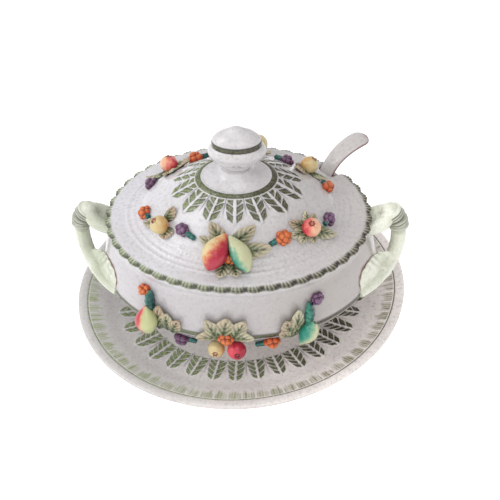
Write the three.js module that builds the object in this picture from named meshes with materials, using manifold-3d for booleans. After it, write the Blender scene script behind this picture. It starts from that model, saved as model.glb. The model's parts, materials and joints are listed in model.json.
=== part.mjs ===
// Oval soup tureen with its lid, ladle and underplate, dressed with sprigs of fruit, berries and leaves.
// Millimetres, +Z up. The origin is on the table under the middle of the tureen. +X is the tureen's long
// axis, towards the right handle, and -Y is the front.
import * as THREE from 'three';
import { mergeVertices } from 'three/addons/utils/BufferGeometryUtils.js';
import Module from 'manifold-3d';

const wasm = await Module();
wasm.setup();

// Clearances
const GAP = 0.3; // between neighbouring pieces
const NOTCH_CLEARANCE = 1.7; // each side of the ladle's strap in the lid's notch

// Underplate
const PLATE_LONG = 200; // half the long axis
const PLATE_SHORTNESS = 0.873; // short axis over long axis
const PLATE_TURN = THREE.MathUtils.degToRad(10.7); // the plate sits askew under the tureen
const PLATE_WELL = 9; // height of the well's surface

// Tureen bowl
const BOWL_SHORTNESS = 0.77;
const BELLY_LONG = 158; // half the long axis at the belly
const BELLY_HEIGHT = 80;
const RIM_LONG = 146.3;
const RIM_HEIGHT = 142.5;
const MOUTH_LONG = 138.5;
const FOOT_LONG = 99;
const WALL = 7;
const FLOOR_TOP = 25;
const FLOOR_UNDERSIDE = 17.5;

// Lid
const LID_LONG = 146.7;
const LID_SHORTNESS = 0.768;
const LID_EDGE_HEIGHT = 146.5;
const CONE_LONG = 42.8; // foot of the cone that carries the knob
const CONE_HEIGHT = 199.5;
const NECK_LONG = 15;
const NECK_HEIGHT = 213;
const FLANGE_LONG = 134; // the locating flange that drops into the mouth
const FLANGE_DROP = 8.5;

// Knob
const KNOB_LONG = 30; // half its long axis at the bulge
const KNOB_SHORTNESS = 0.62;
const KNOB_SHIFT = 2; // it stands a little to the right on its neck
const KNOB_TOP = 266;

// Ladle, drawn in the upright plane through its own handle
const LADLE_BEARING = THREE.MathUtils.degToRad(33);
const STRAP_WIDTH = 21;
const STRAP_THICKNESS = 6;
const LADLE_BOWL_RADIUS = 33;
const LADLE_BOWL_REACH = 14; // its middle from the tureen's axis
const LADLE_BOWL_RIM = 54;
const LADLE_TIP = [165.5, 0, 172.5]; // middle of the rounded end, where the strap curls over
const NOTCH_INNER = 112.5; // how far from the tureen's axis the lid's notch for the strap starts

// Handles
const BRANCH_RADIUS = 8.5;
const PRONG_RADIUS = 7.5;
const PRONG_SPREAD = 11; // half the distance between the fork's two prongs
const TOE_RADIUS = 6.5; // the foot's toe, which runs round the belly to the front

const ROUND_SEGMENTS = 24;
const OVAL_SEGMENTS = 40;

const COLOURS = {
  cream: 0xe4e0da,
  celadon: 0xc6cdb2,
  leaf: 0xb9bb98,
  orange: 0xd9773a,
  yellow: 0xe3cf86,
  red: 0xc6424f,
  purple: 0x7a4c70,
  teal: 0x1c7f72,
  lime: 0xc3c98c,
};

// ---- solids and geometry ----------------------------------------------------------------------

// A closed geometry as a solid that can be joined and cut.
function toSolid(geometry) {
  const bare = geometry.clone();
  bare.deleteAttribute('normal');
  bare.deleteAttribute('uv');
  const merged = mergeVertices(bare, 1e-3);
  const corners = merged.index.array;
  const triangles = [];
  for (let i = 0; i < corners.length; i += 3) {
    const [a, b, c] = corners.slice(i, i + 3);
    if (a !== b && b !== c && c !== a) triangles.push(a, b, c);
  }
  const mesh = new wasm.Mesh({
    numProp: 3,
    vertProperties: new Float32Array(merged.attributes.position.array),
    triVerts: new Uint32Array(triangles),
  });
  return new wasm.Manifold(mesh);
}

function toGeometry(solid) {
  const mesh = solid.getMesh();
  const geometry = new THREE.BufferGeometry();
  geometry.setAttribute('position', new THREE.BufferAttribute(mesh.vertProperties, 3));
  geometry.setIndex(new THREE.BufferAttribute(mesh.triVerts, 1));
  geometry.computeVertexNormals();
  return geometry;
}

function joined(solids) {
  return solids.reduce((whole, solid) => whole.add(solid));
}

// The biggest body of a solid that a cut may have split.
function largest(solid) {
  const bodies = solid.decompose();
  return bodies.reduce((best, body) => (body.volume() > best.volume() ? body : best));
}

function finish(colour) {
  return new THREE.MeshStandardMaterial({ color: colour, roughness: 0.25, metalness: 0 });
}

function piece(name, geometry, colour) {
  const mesh = new THREE.Mesh(geometry, finish(colour));
  mesh.name = name;
  return mesh;
}

// ---- turned ovals -----------------------------------------------------------------------------

function points(pairs) {
  return pairs.map(([radius, height]) => new THREE.Vector2(radius, height));
}

function splinePoints(pairs, divisions) {
  return new THREE.SplineCurve(points(pairs)).getPoints(divisions);
}

// Moves each point of an upward profile sideways: a positive distance is away from the axis.
function offset(profile, distance) {
  return profile.map((point, i) => {
    const before = profile[Math.max(i - 1, 0)];
    const after = profile[Math.min(i + 1, profile.length - 1)];
    const along = after.clone().sub(before).normalize();
    return new THREE.Vector2(point.x + along.y * distance, point.y - along.x * distance);
  });
}

// Turns a profile about Z and squeezes it in Y.
function turned(profile, shortness = 1, segments = OVAL_SEGMENTS) {
  const geometry = new THREE.LatheGeometry(profile, segments);
  geometry.rotateX(Math.PI / 2);
  geometry.scale(1, shortness, 1);
  return toSolid(geometry);
}

// ---- underplate -------------------------------------------------------------------------------

function underplate() {
  const footInner = 108;
  const footOuter = 116;
  const underside = [[0, 3], [footInner - 2, 3], [footInner, 0], [footOuter, 0], [footOuter + 3, 5]];
  const belowRim = [[160, 11], [186, 19], [197, 22]];
  const rolledRim = [[PLATE_LONG, 24.2], [196, 26.2], [188.5, 25.4]];
  const slope = [[172, 20], [156, 14], [124, PLATE_WELL + 0.8], [112, PLATE_WELL], [0, PLATE_WELL]];
  const profile = points([...underside, ...belowRim, ...rolledRim, ...slope]);
  return turned(profile, PLATE_SHORTNESS);
}

// ---- tureen bowl ------------------------------------------------------------------------------

const bellyCurve = splinePoints(
  [[102, 20], [125, 38], [148, 58], [BELLY_LONG, BELLY_HEIGHT], [154.5, 100], [149, 120], [144.5, 132]],
  9,
);
const rimCurve = points([[146, 138], [RIM_LONG, RIM_HEIGHT]]);

function tureenBowl() {
  const footBottom = PLATE_WELL + GAP;
  const foot = points([
    [0, FLOOR_UNDERSIDE],
    [FOOT_LONG - 10, FLOOR_UNDERSIDE],
    [FOOT_LONG - 8, footBottom],
    [FOOT_LONG, footBottom],
  ]);
  const wall = offset(bellyCurve, -WALL).reverse();
  const inside = wall.filter((point) => point.y > FLOOR_TOP + 3);
  const mouth = points([[MOUTH_LONG, RIM_HEIGHT]]);
  const floor = points([[FOOT_LONG - 6, FLOOR_TOP], [0, FLOOR_TOP]]);
  return turned([...foot, ...bellyCurve, ...rimCurve, ...mouth, ...inside, ...floor], BOWL_SHORTNESS);
}

// The bowl's outside as a full solid, grown by a margin. The gap is what a sprig or handle must leave to it.
function bowlEnvelope(margin = GAP) {
  const outside = offset([...bellyCurve, ...rimCurve], margin);
  const ends = [new THREE.Vector2(0, outside[0].y), new THREE.Vector2(0, RIM_HEIGHT)];
  return turned([ends[0], ...outside, ends[1]], BOWL_SHORTNESS);
}

// ---- lid --------------------------------------------------------------------------------------

const domeCurve = points([
  [LID_LONG, LID_EDGE_HEIGHT],
  [139.4, 149.5],
  [124.7, 151],
  [107, 158],
  [98.3, 166],
  [88, 172],
  [66, 187],
  [CONE_LONG, CONE_HEIGHT],
  [26, 204.5],
  [18, 209],
  [NECK_LONG, NECK_HEIGHT],
]);

// A block as wide as the ladle's strap and its clearance, open to the lid's edge.
function ladleNotch() {
  const length = 47;
  const height = 40;
  const block = new THREE.BoxGeometry(length, STRAP_WIDTH + 2 + 2 * NOTCH_CLEARANCE, height);
  block.translate(NOTCH_INNER + length / 2, 0, LID_EDGE_HEIGHT);
  block.rotateZ(LADLE_BEARING);
  return toSolid(block);
}

function lid() {
  const seat = RIM_HEIGHT + GAP;
  const flangeBottom = seat - FLANGE_DROP;
  const underside = points([
    [0, 199],
    [36, 193.5],
    [64, 180],
    [96, 159.5],
    [120, 147],
    [FLANGE_LONG - 5, 144.5],
    [FLANGE_LONG - 5, flangeBottom],
    [FLANGE_LONG - 1, flangeBottom],
    [FLANGE_LONG, seat],
    [LID_LONG - 0.8, seat],
  ]);
  const top = points([[0, NECK_HEIGHT]]);
  return turned([...underside, ...domeCurve, ...top], LID_SHORTNESS).subtract(ladleNotch());
}

function lidEnvelope() {
  const raised = domeCurve.map((point) => new THREE.Vector2(point.x, point.y + GAP * 1.2));
  const below = points([[0, RIM_HEIGHT], [LID_LONG, RIM_HEIGHT]]);
  return turned([...below, ...raised, new THREE.Vector2(0, NECK_HEIGHT)], LID_SHORTNESS);
}

// An oval bulge on a neck, with a low cap that rises to a soft point.
function lidKnob() {
  const base = NECK_HEIGHT + GAP;
  const neck = NECK_LONG - KNOB_SHIFT - 0.5;
  const foot = [[0, base], [neck, base], [neck, 218]];
  const bulge = [[22, 224], [28.5, 230], [KNOB_LONG, 236], [28.5, 240.5]];
  const cap = [[25.3, 243], [25, 247], [24, 251.2], [19, 256.2], [11, 260.8], [5, 264.4], [0, KNOB_TOP]];
  return turned(points([...foot, ...bulge, ...cap]), KNOB_SHORTNESS, ROUND_SEGMENTS);
}

// ---- ladle ------------------------------------------------------------------------------------

// A bar of constant outline swept along a smooth curve through the given places.
function swept(outline, places, steps) {
  const path = new THREE.CatmullRomCurve3(places.map((place) => new THREE.Vector3(...place)));
  return toSolid(new THREE.ExtrudeGeometry(outline, { steps, curveSegments: 2, extrudePath: path }));
}

function strapOutline() {
  const outline = new THREE.Shape();
  outline.absellipse(0, 0, STRAP_WIDTH / 2, STRAP_THICKNESS / 2, 0, 2 * Math.PI);
  return outline;
}

function roundOutline(radius) {
  const outline = new THREE.Shape();
  outline.absarc(0, 0, radius, 0, 2 * Math.PI);
  return outline;
}

function ladle() {
  const inTureen = [[LADLE_BOWL_REACH + LADLE_BOWL_RADIUS - 1, 0, 50], [62, 0, 72], [93, 0, 110]];
  const overLid = [[119, 0, 147], [128.5, 0, 162], [138, 0, 170.8], [150, 0, 175], LADLE_TIP];
  const strap = swept(strapOutline(), [...inTureen, ...overLid], 18);
  const tipRadius = STRAP_WIDTH / 2 + 1;
  const tip = new THREE.CylinderGeometry(tipRadius, tipRadius, STRAP_THICKNESS, 16);
  tip.rotateX(Math.PI / 2);
  tip.rotateY(THREE.MathUtils.degToRad(18));
  tip.translate(...LADLE_TIP);
  const thickness = 3;
  const depth = 24;
  const outer = LADLE_BOWL_RADIUS;
  const inner = outer - thickness;
  const cup = points([
    [0, -depth],
    [outer * 0.5, -depth * 0.87],
    [outer * 0.87, -depth * 0.5],
    [outer, 0],
    [inner, 0],
    [inner * 0.87, (thickness - depth) * 0.5],
    [inner * 0.5, (thickness - depth) * 0.87],
    [0, thickness - depth],
  ]);
  const bowl = turned(cup, 1, 20).translate([LADLE_BOWL_REACH, 0, LADLE_BOWL_RIM]);
  const space = turned(points([[0, -depth + 4], [inner * 0.5, -depth * 0.6], [inner, 0], [0, 0]]), 1, 20);
  const clear = space.translate([LADLE_BOWL_REACH, 0, LADLE_BOWL_RIM]);
  return joined([strap.subtract(clear), toSolid(tip), bowl]);
}

// ---- handles ----------------------------------------------------------------------------------

// The leaf-like web that opens from the right handle's foot and lies on the belly.
// Each corner is a place and the radius that rounds it.
function handleFlare() {
  const corners = [
    [177, -6, 83, 5],
    [165, -26, 78, 5],
    [142, -42, 110, 2.5],
    [134, -57, 104, 2.5],
    [135.5, -60, 88, 2.5],
    [141, -57, 81, 4],
  ];
  return wasm.Manifold.hull(corners.map(([x, y, z, radius]) => {
    const corner = new THREE.SphereGeometry(radius, 8, 6);
    corner.translate(x, y, z);
    return toSolid(corner);
  }));
}

// The right handle: a forked branch whose knuckle is bound with rings. Its foot leans to the front, where
// it has a toe and a leaf-like web on the belly.
function branchHandle() {
  const knuckle = [168, 0, 150];
  const ankle = [173, -11, 76];
  const heel = [165, -26, 76];
  const stem = swept(
    roundOutline(BRANCH_RADIUS),
    [knuckle, [176, 0, 138], [180.5, 0, 116], [181, 0, 97], [178.5, -3, 84], ankle, heel],
    14,
  );
  const toe = swept(
    roundOutline(TOE_RADIUS),
    [ankle, heel, [154, -43, 78], [142.5, -56, 80], [136, -62, 81]],
    8,
  );
  const prongs = [-1, 1].map((side) => swept(
    roundOutline(PRONG_RADIUS),
    [[140, side * PRONG_SPREAD, 131], [150, side * PRONG_SPREAD, 134.5], [160, side * 9, 141], knuckle],
    7,
  ));
  const rings = [0, 1, 2].map((step) => {
    const ring = new THREE.TorusGeometry(BRANCH_RADIUS, 2, 4, 10);
    ring.rotateY(THREE.MathUtils.degToRad(55 + 18 * step));
    ring.translate(170 + 3 * step, 0, 148 - 6 * step);
    return toSolid(ring);
  });
  return largest(joined([stem, toe, ...prongs, handleFlare(), ...rings]).subtract(bowlEnvelope()));
}

// ---- sprigs -----------------------------------------------------------------------------------

// A place on a host's surface: X runs round it anticlockwise, Y up its slope and Z out of it.
function surfaceFrame(pointAt, bearing, level) {
  const step = 0.5;
  const angle = THREE.MathUtils.degToRad(bearing);
  const around = pointAt(angle + 0.01, level).sub(pointAt(angle - 0.01, level)).normalize();
  const up = pointAt(angle, level + step).sub(pointAt(angle, level - step)).normalize();
  const out = around.clone().cross(up).normalize();
  const frame = new THREE.Matrix4().makeBasis(around, out.clone().cross(around), out);
  return frame.setPosition(pointAt(angle, level));
}

function heightToRadius(profile, height) {
  for (let i = 1; i < profile.length; i += 1) {
    const [low, high] = [profile[i - 1], profile[i]];
    if (height <= high.y) return THREE.MathUtils.mapLinear(height, low.y, high.y, low.x, high.x);
  }
  return profile[profile.length - 1].x;
}

function pointOn(profile, shortness) {
  return (angle, height) => {
    const radius = heightToRadius(profile, height);
    return new THREE.Vector3(radius * Math.cos(angle), radius * shortness * Math.sin(angle), height);
  };
}

const onBowl = pointOn(bellyCurve, BOWL_SHORTNESS);
const onLid = pointOn(domeCurve, LID_SHORTNESS);

// Each maker returns a solid standing on Z = 0, grown by the given margin.
function fruit(radius) {
  return (grow) => toSolid(new THREE.IcosahedronGeometry(radius + grow, 1)).translate([0, 0, radius * 0.8]);
}

function pear(length, width) {
  return (grow) => {
    const half = length / 2 + grow;
    const wide = width / 2 + grow;
    const profile = points([
      [0, -half], [wide * 0.7, -half * 0.68], [wide, -half * 0.2], [wide * 0.78, half * 0.35],
      [wide * 0.36, half * 0.8], [0, half],
    ]);
    const body = turned(profile, 1, 10);
    return body.rotate([-90, 0, 0]).translate([0, 0, width * 0.4]);
  };
}

function berries(width) {
  return (grow) => {
    const radius = width * 0.24;
    const ball = toSolid(new THREE.IcosahedronGeometry(radius * 1.2 + grow, 0));
    const ring = [0, 1, 2].map((i) => {
      const turn = (2 * Math.PI * i) / 3;
      return ball.translate([radius * 1.1 * Math.cos(turn), radius * 1.1 * Math.sin(turn), radius * 0.9]);
    });
    return joined([...ring, ball.translate([0, 0, radius * 1.7])]);
  };
}

function pod(length, width) {
  return (grow) => {
    const body = new THREE.IcosahedronGeometry(1, 1);
    body.scale(width / 2 + grow, length / 2 + grow, width / 2 + grow);
    return toSolid(body).translate([0, 0, width * 0.3]);
  };
}

// A pointed leaf from the origin along +Y, tilted up at its tip.
function leaf(length, width, lift = 0.1) {
  return (grow) => {
    const half = width / 2 + grow;
    const outline = new THREE.Shape();
    outline.moveTo(0, -grow - 2);
    outline.quadraticCurveTo(half * 1.5, length * 0.4, 0, length + grow);
    outline.quadraticCurveTo(-half * 1.5, length * 0.4, 0, -grow - 2);
    const depth = 3.4 + 2 * grow;
    const blade = new THREE.ExtrudeGeometry(outline, { depth, bevelEnabled: false, curveSegments: 3 });
    blade.translate(0, 0, -0.6 - grow);
    blade.rotateX(lift);
    return toSolid(blade);
  };
}

// A spray of leaves as one solid. Each row is a leaf's stalk (x, y), its length, its width and its turn.
function leaves(rows) {
  return (grow) => joined(rows.map(([x, y, length, width, turn]) => (
    leaf(length, width)(grow).rotate([0, 0, turn]).translate([x, y, 0]))));
}

// Sets each sprig on its host and cuts it clear of the host and of the sprigs set before it.
function settled(sprigs, pointAt, envelope) {
  let taken = envelope;
  return sprigs.map(({ name, colour, bearing, level, make, turn = 0 }) => {
    const frame = surfaceFrame(pointAt, bearing, level);
    const place = (grow) => make(grow).rotate([0, 0, turn]).transform(frame.elements);
    const solid = largest(place(0).subtract(taken));
    taken = taken.add(place(GAP));
    return { name, colour, geometry: toGeometry(solid) };
  });
}

const smallBerries = berries(15);

// The lid's front garland: leaves first, then the fruit and berries that sit on them. Bearings are degrees
// from +X and levels are heights.
const lidSprigs = [
  {
    name: 'apple_yellow_leaves',
    colour: COLOURS.leaf,
    bearing: 216.5,
    level: 169.5,
    make: leaves([[-3, 5, 20, 12, 7], [-6, -3, 20, 12, 133], [5, -1, 16, 14, -141]]),
  },
  {
    name: 'centre_foliage',
    colour: COLOURS.leaf,
    bearing: 266.5,
    level: 167,
    make: leaves([
      [-6, 7, 29, 15, 31], [-6, -2, 29, 15, 64], [5, 8, 30, 16, -45], [8, -1, 37, 17, -94],
      [-3, -14, 28, 14, 171], [5, -14, 26, 14, -163],
    ]),
  },
  {
    name: 'apple_red_leaves',
    colour: COLOURS.leaf,
    bearing: 323,
    level: 167.5,
    make: leaves([
      [2, 4, 18, 9, -30], [4, 2, 16, 9, -62], [-2, 4, 20, 12, 36], [-4, 1, 21, 12, 89], [-5, -1, 18, 11, 118],
      [-1, -5, 15, 10, 147], [3, -4, 28, 14, -147],
    ]),
  },
  { name: 'pear_red', colour: COLOURS.red, bearing: 260, level: 165.8, make: pear(42, 26), turn: -20 },
  { name: 'pear_green', colour: COLOURS.lime, bearing: 273.5, level: 165.2, make: pear(43, 21), turn: 27 },
  { name: 'berries_orange_centre', colour: COLOURS.orange, bearing: 267.5, level: 161, make: berries(14) },
  { name: 'apple_yellow', colour: COLOURS.yellow, bearing: 217, level: 168, make: fruit(10) },
  { name: 'apple_red', colour: COLOURS.red, bearing: 322, level: 167.5, make: fruit(10) },
  { name: 'berries_orange_end', colour: COLOURS.orange, bearing: 195, level: 164, make: smallBerries },
  { name: 'berries_purple', colour: COLOURS.purple, bearing: 232, level: 172.8, make: smallBerries },
  { name: 'berries_orange', colour: COLOURS.orange, bearing: 302.5, level: 169.5, make: smallBerries },
  { name: 'berries_purple_end', colour: COLOURS.purple, bearing: 341, level: 162.5, make: smallBerries },
];

// The bowl's front garland, in the same order.
const bowlSprigs = [
  {
    name: 'leaves_left',
    colour: COLOURS.leaf,
    bearing: 240,
    level: 74,
    make: leaves([[-5, -2, 43, 15, -3], [7, 4, 28, 13, 4], [11, 0, 29, 13, -18]]),
  },
  {
    name: 'centre_foliage',
    colour: COLOURS.leaf,
    bearing: 266.5,
    level: 76,
    make: leaves([
      [-5, 7, 28, 15, 94], [-8, 3, 34, 16, 24], [-4, 3, 37, 19, -9], [7, 5, 33, 16, -26], [5, 7, 26, 15, -88],
    ]),
  },
  {
    name: 'leaves_right',
    colour: COLOURS.leaf,
    bearing: 294,
    level: 75,
    make: leaves([[-1, 1, 42, 14, -7], [-4, -2, 33, 17, 13], [-4, -2, 22, 12, 48]]),
  },
  { name: 'peach', colour: COLOURS.yellow, bearing: 234.7, level: 89.5, make: pear(38, 24), turn: 6 },
  { name: 'fruit_yellow', colour: COLOURS.yellow, bearing: 262, level: 61, make: fruit(9.6) },
  { name: 'fruit_red', colour: COLOURS.red, bearing: 270.4, level: 64, make: fruit(10.4) },
  { name: 'pear_green', colour: COLOURS.lime, bearing: 298, level: 80.5, make: pear(40, 19), turn: 157 },
  { name: 'berries_orange_centre', colour: COLOURS.orange, bearing: 266.5, level: 81, make: berries(17) },
  { name: 'berries_orange_end', colour: COLOURS.orange, bearing: 230.3, level: 120.5, make: smallBerries },
  { name: 'grapes_purple', colour: COLOURS.purple, bearing: 246.6, level: 60, make: berries(18) },
  { name: 'berries_orange', colour: COLOURS.orange, bearing: 284.5, level: 68.5, make: berries(17) },
  { name: 'grapes_purple_end', colour: COLOURS.purple, bearing: 304.3, level: 117.5, make: smallBerries },
  { name: 'pod_teal_left', colour: COLOURS.teal, bearing: 234.6, level: 111, make: pod(30, 11), turn: 6 },
  { name: 'pod_teal_right', colour: COLOURS.teal, bearing: 299.5, level: 102, make: pod(36, 10.5), turn: -7 },
];

// The same garland twice, front and back, half a turn apart.
function garlands(host, sprigs) {
  const pair = new THREE.Group();
  ['front', 'back'].forEach((side, i) => {
    const half = new THREE.Group();
    half.rotation.z = i * Math.PI;
    sprigs.forEach(({ name, colour, geometry }) => {
      half.add(piece(`${side}_${host}_${name}`, geometry, colour));
    });
    pair.add(half);
  });
  return pair;
}

// ---- the assembly -----------------------------------------------------------------------------

const tureen = new THREE.Group();

const plate = piece('underplate', toGeometry(underplate()), COLOURS.cream);
plate.rotation.z = PLATE_TURN;
tureen.add(plate);

tureen.add(piece('tureen_bowl', toGeometry(tureenBowl()), COLOURS.cream));
tureen.add(piece('lid', toGeometry(lid()), COLOURS.cream));
const knob = piece('lid_knob', toGeometry(lidKnob()), COLOURS.cream);
knob.position.x = KNOB_SHIFT;
tureen.add(knob);

const dipper = piece('ladle', toGeometry(ladle()), COLOURS.cream);
dipper.rotation.z = LADLE_BEARING;
tureen.add(dipper);

const rightHandle = branchHandle();
tureen.add(piece('right_handle', toGeometry(rightHandle), COLOURS.celadon));
tureen.add(piece('left_handle', toGeometry(rightHandle.mirror([1, 0, 0])), COLOURS.celadon));

tureen.add(garlands('lid', settled(lidSprigs, onLid, lidEnvelope())));
tureen.add(garlands('bowl', settled(bowlSprigs, onBowl, bowlEnvelope())));

export default tureen;
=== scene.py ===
"""Looks of an oval soup tureen with its lid, ladle and underplate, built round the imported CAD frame.

Shapes are worked out in millimetres on the frame's axes: +X to the right handle, -Y to the front, +Z up.
A bearing runs anticlockwise from +X, and a level is a height above the table.
"""

import json
import math

import bpy
import numpy as np
from mathutils import Matrix, Vector, kdtree


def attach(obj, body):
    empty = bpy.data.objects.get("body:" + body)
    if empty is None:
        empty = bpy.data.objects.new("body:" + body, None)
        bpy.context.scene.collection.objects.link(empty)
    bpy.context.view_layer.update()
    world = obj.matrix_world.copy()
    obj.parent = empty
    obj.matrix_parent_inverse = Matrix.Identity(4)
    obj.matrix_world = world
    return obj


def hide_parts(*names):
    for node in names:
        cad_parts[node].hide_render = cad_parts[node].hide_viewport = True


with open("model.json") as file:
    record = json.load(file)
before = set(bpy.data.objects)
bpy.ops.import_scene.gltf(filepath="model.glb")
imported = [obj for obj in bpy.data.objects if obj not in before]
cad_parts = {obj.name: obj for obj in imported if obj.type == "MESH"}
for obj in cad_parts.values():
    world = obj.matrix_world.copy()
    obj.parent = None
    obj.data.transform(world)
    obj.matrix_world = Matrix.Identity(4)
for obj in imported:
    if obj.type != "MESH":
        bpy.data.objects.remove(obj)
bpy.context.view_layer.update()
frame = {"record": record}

MM = 0.001
TAU = 2 * math.pi

# Driving sizes, as in the CAD source
PLATE_LONG = 200
PLATE_SHORTNESS = 0.873
PLATE_TURN = math.radians(10.7)
BOWL_SHORTNESS = 0.77
BELLY_LONG = 158
MOUTH_LONG = 138.5
FOOT_LONG = 99
WALL = 7
FLOOR_TOP = 25
LID_SHORTNESS = 0.768
CONE_LONG = 42.8
KNOB_SHORTNESS = 0.62
KNOB_SHIFT = 2
LADLE_BEARING = math.radians(33)
LADLE_BOWL_RADIUS = 33
LADLE_BOWL_REACH = 14
LADLE_BOWL_RIM = 54
NOTCH_INNER = 112.5
NOTCH_WIDTH = 26.4
BRANCH_RADIUS = 8.5
PRONG_SPREAD = 11


# ---- small maths ----

def smoothstep(low, high, value):
    share = np.clip((value - low) / (high - low), 0, 1)
    return share * share * (3 - 2 * share)


def ridge(value, centre, width):
    """A smooth bump of height 1 at centre, which fades over width."""
    return np.exp(-((value - centre) / width) ** 2)


def unit(vectors):
    return vectors / np.linalg.norm(vectors, axis=-1, keepdims=True)


def turn_about_z(angle):
    return np.array(Matrix.Rotation(angle, 4, "Z"))


def shifted(x, y, z):
    return np.array(Matrix.Translation((x, y, z)))


def smooth_curve(places, step):
    """Points about step apart on a centripetal Catmull-Rom curve through the places."""
    places = np.array(places, float)
    ends = 2 * places[:1] - places[1:2], 2 * places[-1:] - places[-2:-1]
    control = np.vstack([ends[0], places, ends[1]])
    curve = []
    for a, b, c, d in zip(control, control[1:], control[2:], control[3:]):
        gaps = [max(np.linalg.norm(q - p), 1e-9) ** 0.5 for p, q in ((a, b), (b, c), (c, d))]
        ta, tb, tc, td = np.cumsum([0, *gaps])
        count = max(1, round(np.linalg.norm(c - b) / step))
        t = np.linspace(tb, tc, count, endpoint=False)[:, None]
        ab = ((tb - t) * a + (t - ta) * b) / (tb - ta)
        bc = ((tc - t) * b + (t - tb) * c) / (tc - tb)
        cd = ((td - t) * c + (t - tc) * d) / (td - tc)
        abc = ((tc - t) * ab + (t - ta) * bc) / (tc - ta)
        bcd = ((td - t) * bc + (t - tb) * cd) / (td - tb)
        curve.append(((tc - t) * abc + (t - tb) * bcd) / (tc - tb))
    return np.vstack([*curve, places[-1:]])


def outline(*runs):
    """One outline from runs of (places, step), each a smooth curve that starts where the last one ends."""
    curves = [smooth_curve(places, step) for places, step in runs]
    return np.vstack([curves[0], *[curve[1:] for curve in curves[1:]]])


def offset(curve, distance):
    """Moves each point of an upward curve sideways: a positive distance is away from the axis."""
    along = unit(np.gradient(curve, axis=0))
    return curve + distance * np.stack([along[:, 1], -along[:, 0]], axis=1)


def even_turn(bearings, shortness):
    """The share of an oval's way round at each bearing, from 0 to 1."""
    fine = np.linspace(0, TAU, 2881)
    speed = np.hypot(np.sin(fine), shortness * np.cos(fine))
    travel = np.concatenate([[0], np.cumsum((speed[1:] + speed[:-1]) / 2)])
    return np.interp(bearings, fine, travel / travel[-1])


def girth(radius, shortness):
    """The way round an oval, closely."""
    return TAU * radius * math.sqrt((1 + shortness ** 2) / 2)


# ---- meshes ----

NO_TRIANGLES = np.zeros((0, 3), int)


class Form:
    """Points in millimetres, quads and triangles, and named numbers per point."""

    def __init__(self, points, quads, triangles, layers=None):
        self.points = points
        self.quads = quads
        self.triangles = triangles
        self.layers = layers or {}

    def moved(self, matrix):
        linear, shift = matrix[:3, :3], matrix[:3, 3]
        return Form(self.points @ linear.T + shift, self.quads, self.triangles, self.layers)


def outward(form):
    """The same closed form with its faces turned to look out."""
    a, b, c, d = (form.points[form.quads[:, i]] for i in range(4))
    volume = np.sum(np.cross(a, b) * c) + np.sum(np.cross(a, c) * d)
    if len(form.triangles):
        p, q, r = (form.points[form.triangles[:, i]] for i in range(3))
        volume += np.sum(np.cross(p, q) * r)
    if volume < 0:
        form.quads, form.triangles = form.quads[:, ::-1], form.triangles[:, ::-1]
    return form


def joined(forms):
    """Several forms as one, with the layers that any of them has."""
    names = sorted({name for form in forms for name in form.layers})
    starts = np.cumsum([0] + [len(form.points) for form in forms[:-1]])
    layers = {
        name: np.concatenate([form.layers.get(name, np.zeros(len(form.points))) for form in forms])
        for name in names
    }
    return Form(
        np.vstack([form.points for form in forms]),
        np.vstack([form.quads + start for form, start in zip(forms, starts)]),
        np.vstack([form.triangles + start for form, start in zip(forms, starts)]),
        layers,
    )


def to_mesh(name, form):
    mesh = bpy.data.meshes.new(name)
    mesh.vertices.add(len(form.points))
    mesh.vertices.foreach_set("co", (form.points * MM).astype(np.float32).ravel())
    corners = np.concatenate([form.quads.ravel(), form.triangles.ravel()]).astype(np.int32)
    sizes = np.concatenate([np.full(len(form.quads), 4), np.full(len(form.triangles), 3)])
    mesh.loops.add(len(corners))
    mesh.loops.foreach_set("vertex_index", corners)
    mesh.polygons.add(len(sizes))
    mesh.polygons.foreach_set("loop_start", np.concatenate([[0], np.cumsum(sizes)[:-1]]).astype(np.int32))
    mesh.update(calc_edges=True)
    mesh.validate()
    mesh.shade_smooth()
    for layer, values in form.layers.items():
        attribute = mesh.attributes.new(layer, "FLOAT", "POINT")
        attribute.data.foreach_set("value", np.asarray(values, np.float32).ravel())
    return mesh


def from_mesh(mesh):
    """A mesh's points and faces as a form, with no layers."""
    points = np.empty(len(mesh.vertices) * 3)
    mesh.vertices.foreach_get("co", points)
    faces = {3: [], 4: []}
    for polygon in mesh.polygons:
        faces[len(polygon.vertices)].append(polygon.vertices[:])
    quads = np.array(faces[4], int).reshape(-1, 4)
    triangles = np.array(faces[3], int).reshape(-1, 3)
    return Form(points.reshape(-1, 3) / MM, quads, triangles)


def with_modifiers(mesh, add_modifiers):
    """A new mesh with the modifiers that add_modifiers puts on an object applied."""
    worker = bpy.data.objects.new("worker", mesh)
    bpy.context.scene.collection.objects.link(worker)
    add_modifiers(worker)
    bpy.context.view_layer.update()
    evaluated = worker.evaluated_get(bpy.context.evaluated_depsgraph_get())
    result = bpy.data.meshes.new_from_object(evaluated)
    bpy.data.objects.remove(worker)
    return result


def fused(form, voxel, smoothing=2):
    """One closed skin over overlapping closed forms. Each point takes the layers of the nearest old point."""
    def remesh(worker):
        skin = worker.modifiers.new("skin", "REMESH")
        skin.mode = "VOXEL"
        skin.voxel_size = voxel * MM
        soften = worker.modifiers.new("soften", "SMOOTH")
        soften.factor = 0.5
        soften.iterations = smoothing

    skin = from_mesh(with_modifiers(to_mesh("rough", form), remesh))
    tree = kdtree.KDTree(len(form.points))
    for i, point in enumerate(form.points):
        tree.insert(point, i)
    tree.balance()
    nearest = np.array([tree.find(point)[1] for point in skin.points])
    skin.layers = {name: np.asarray(values)[nearest] for name, values in form.layers.items()}
    return skin


# ---- turned ovals ----

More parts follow.
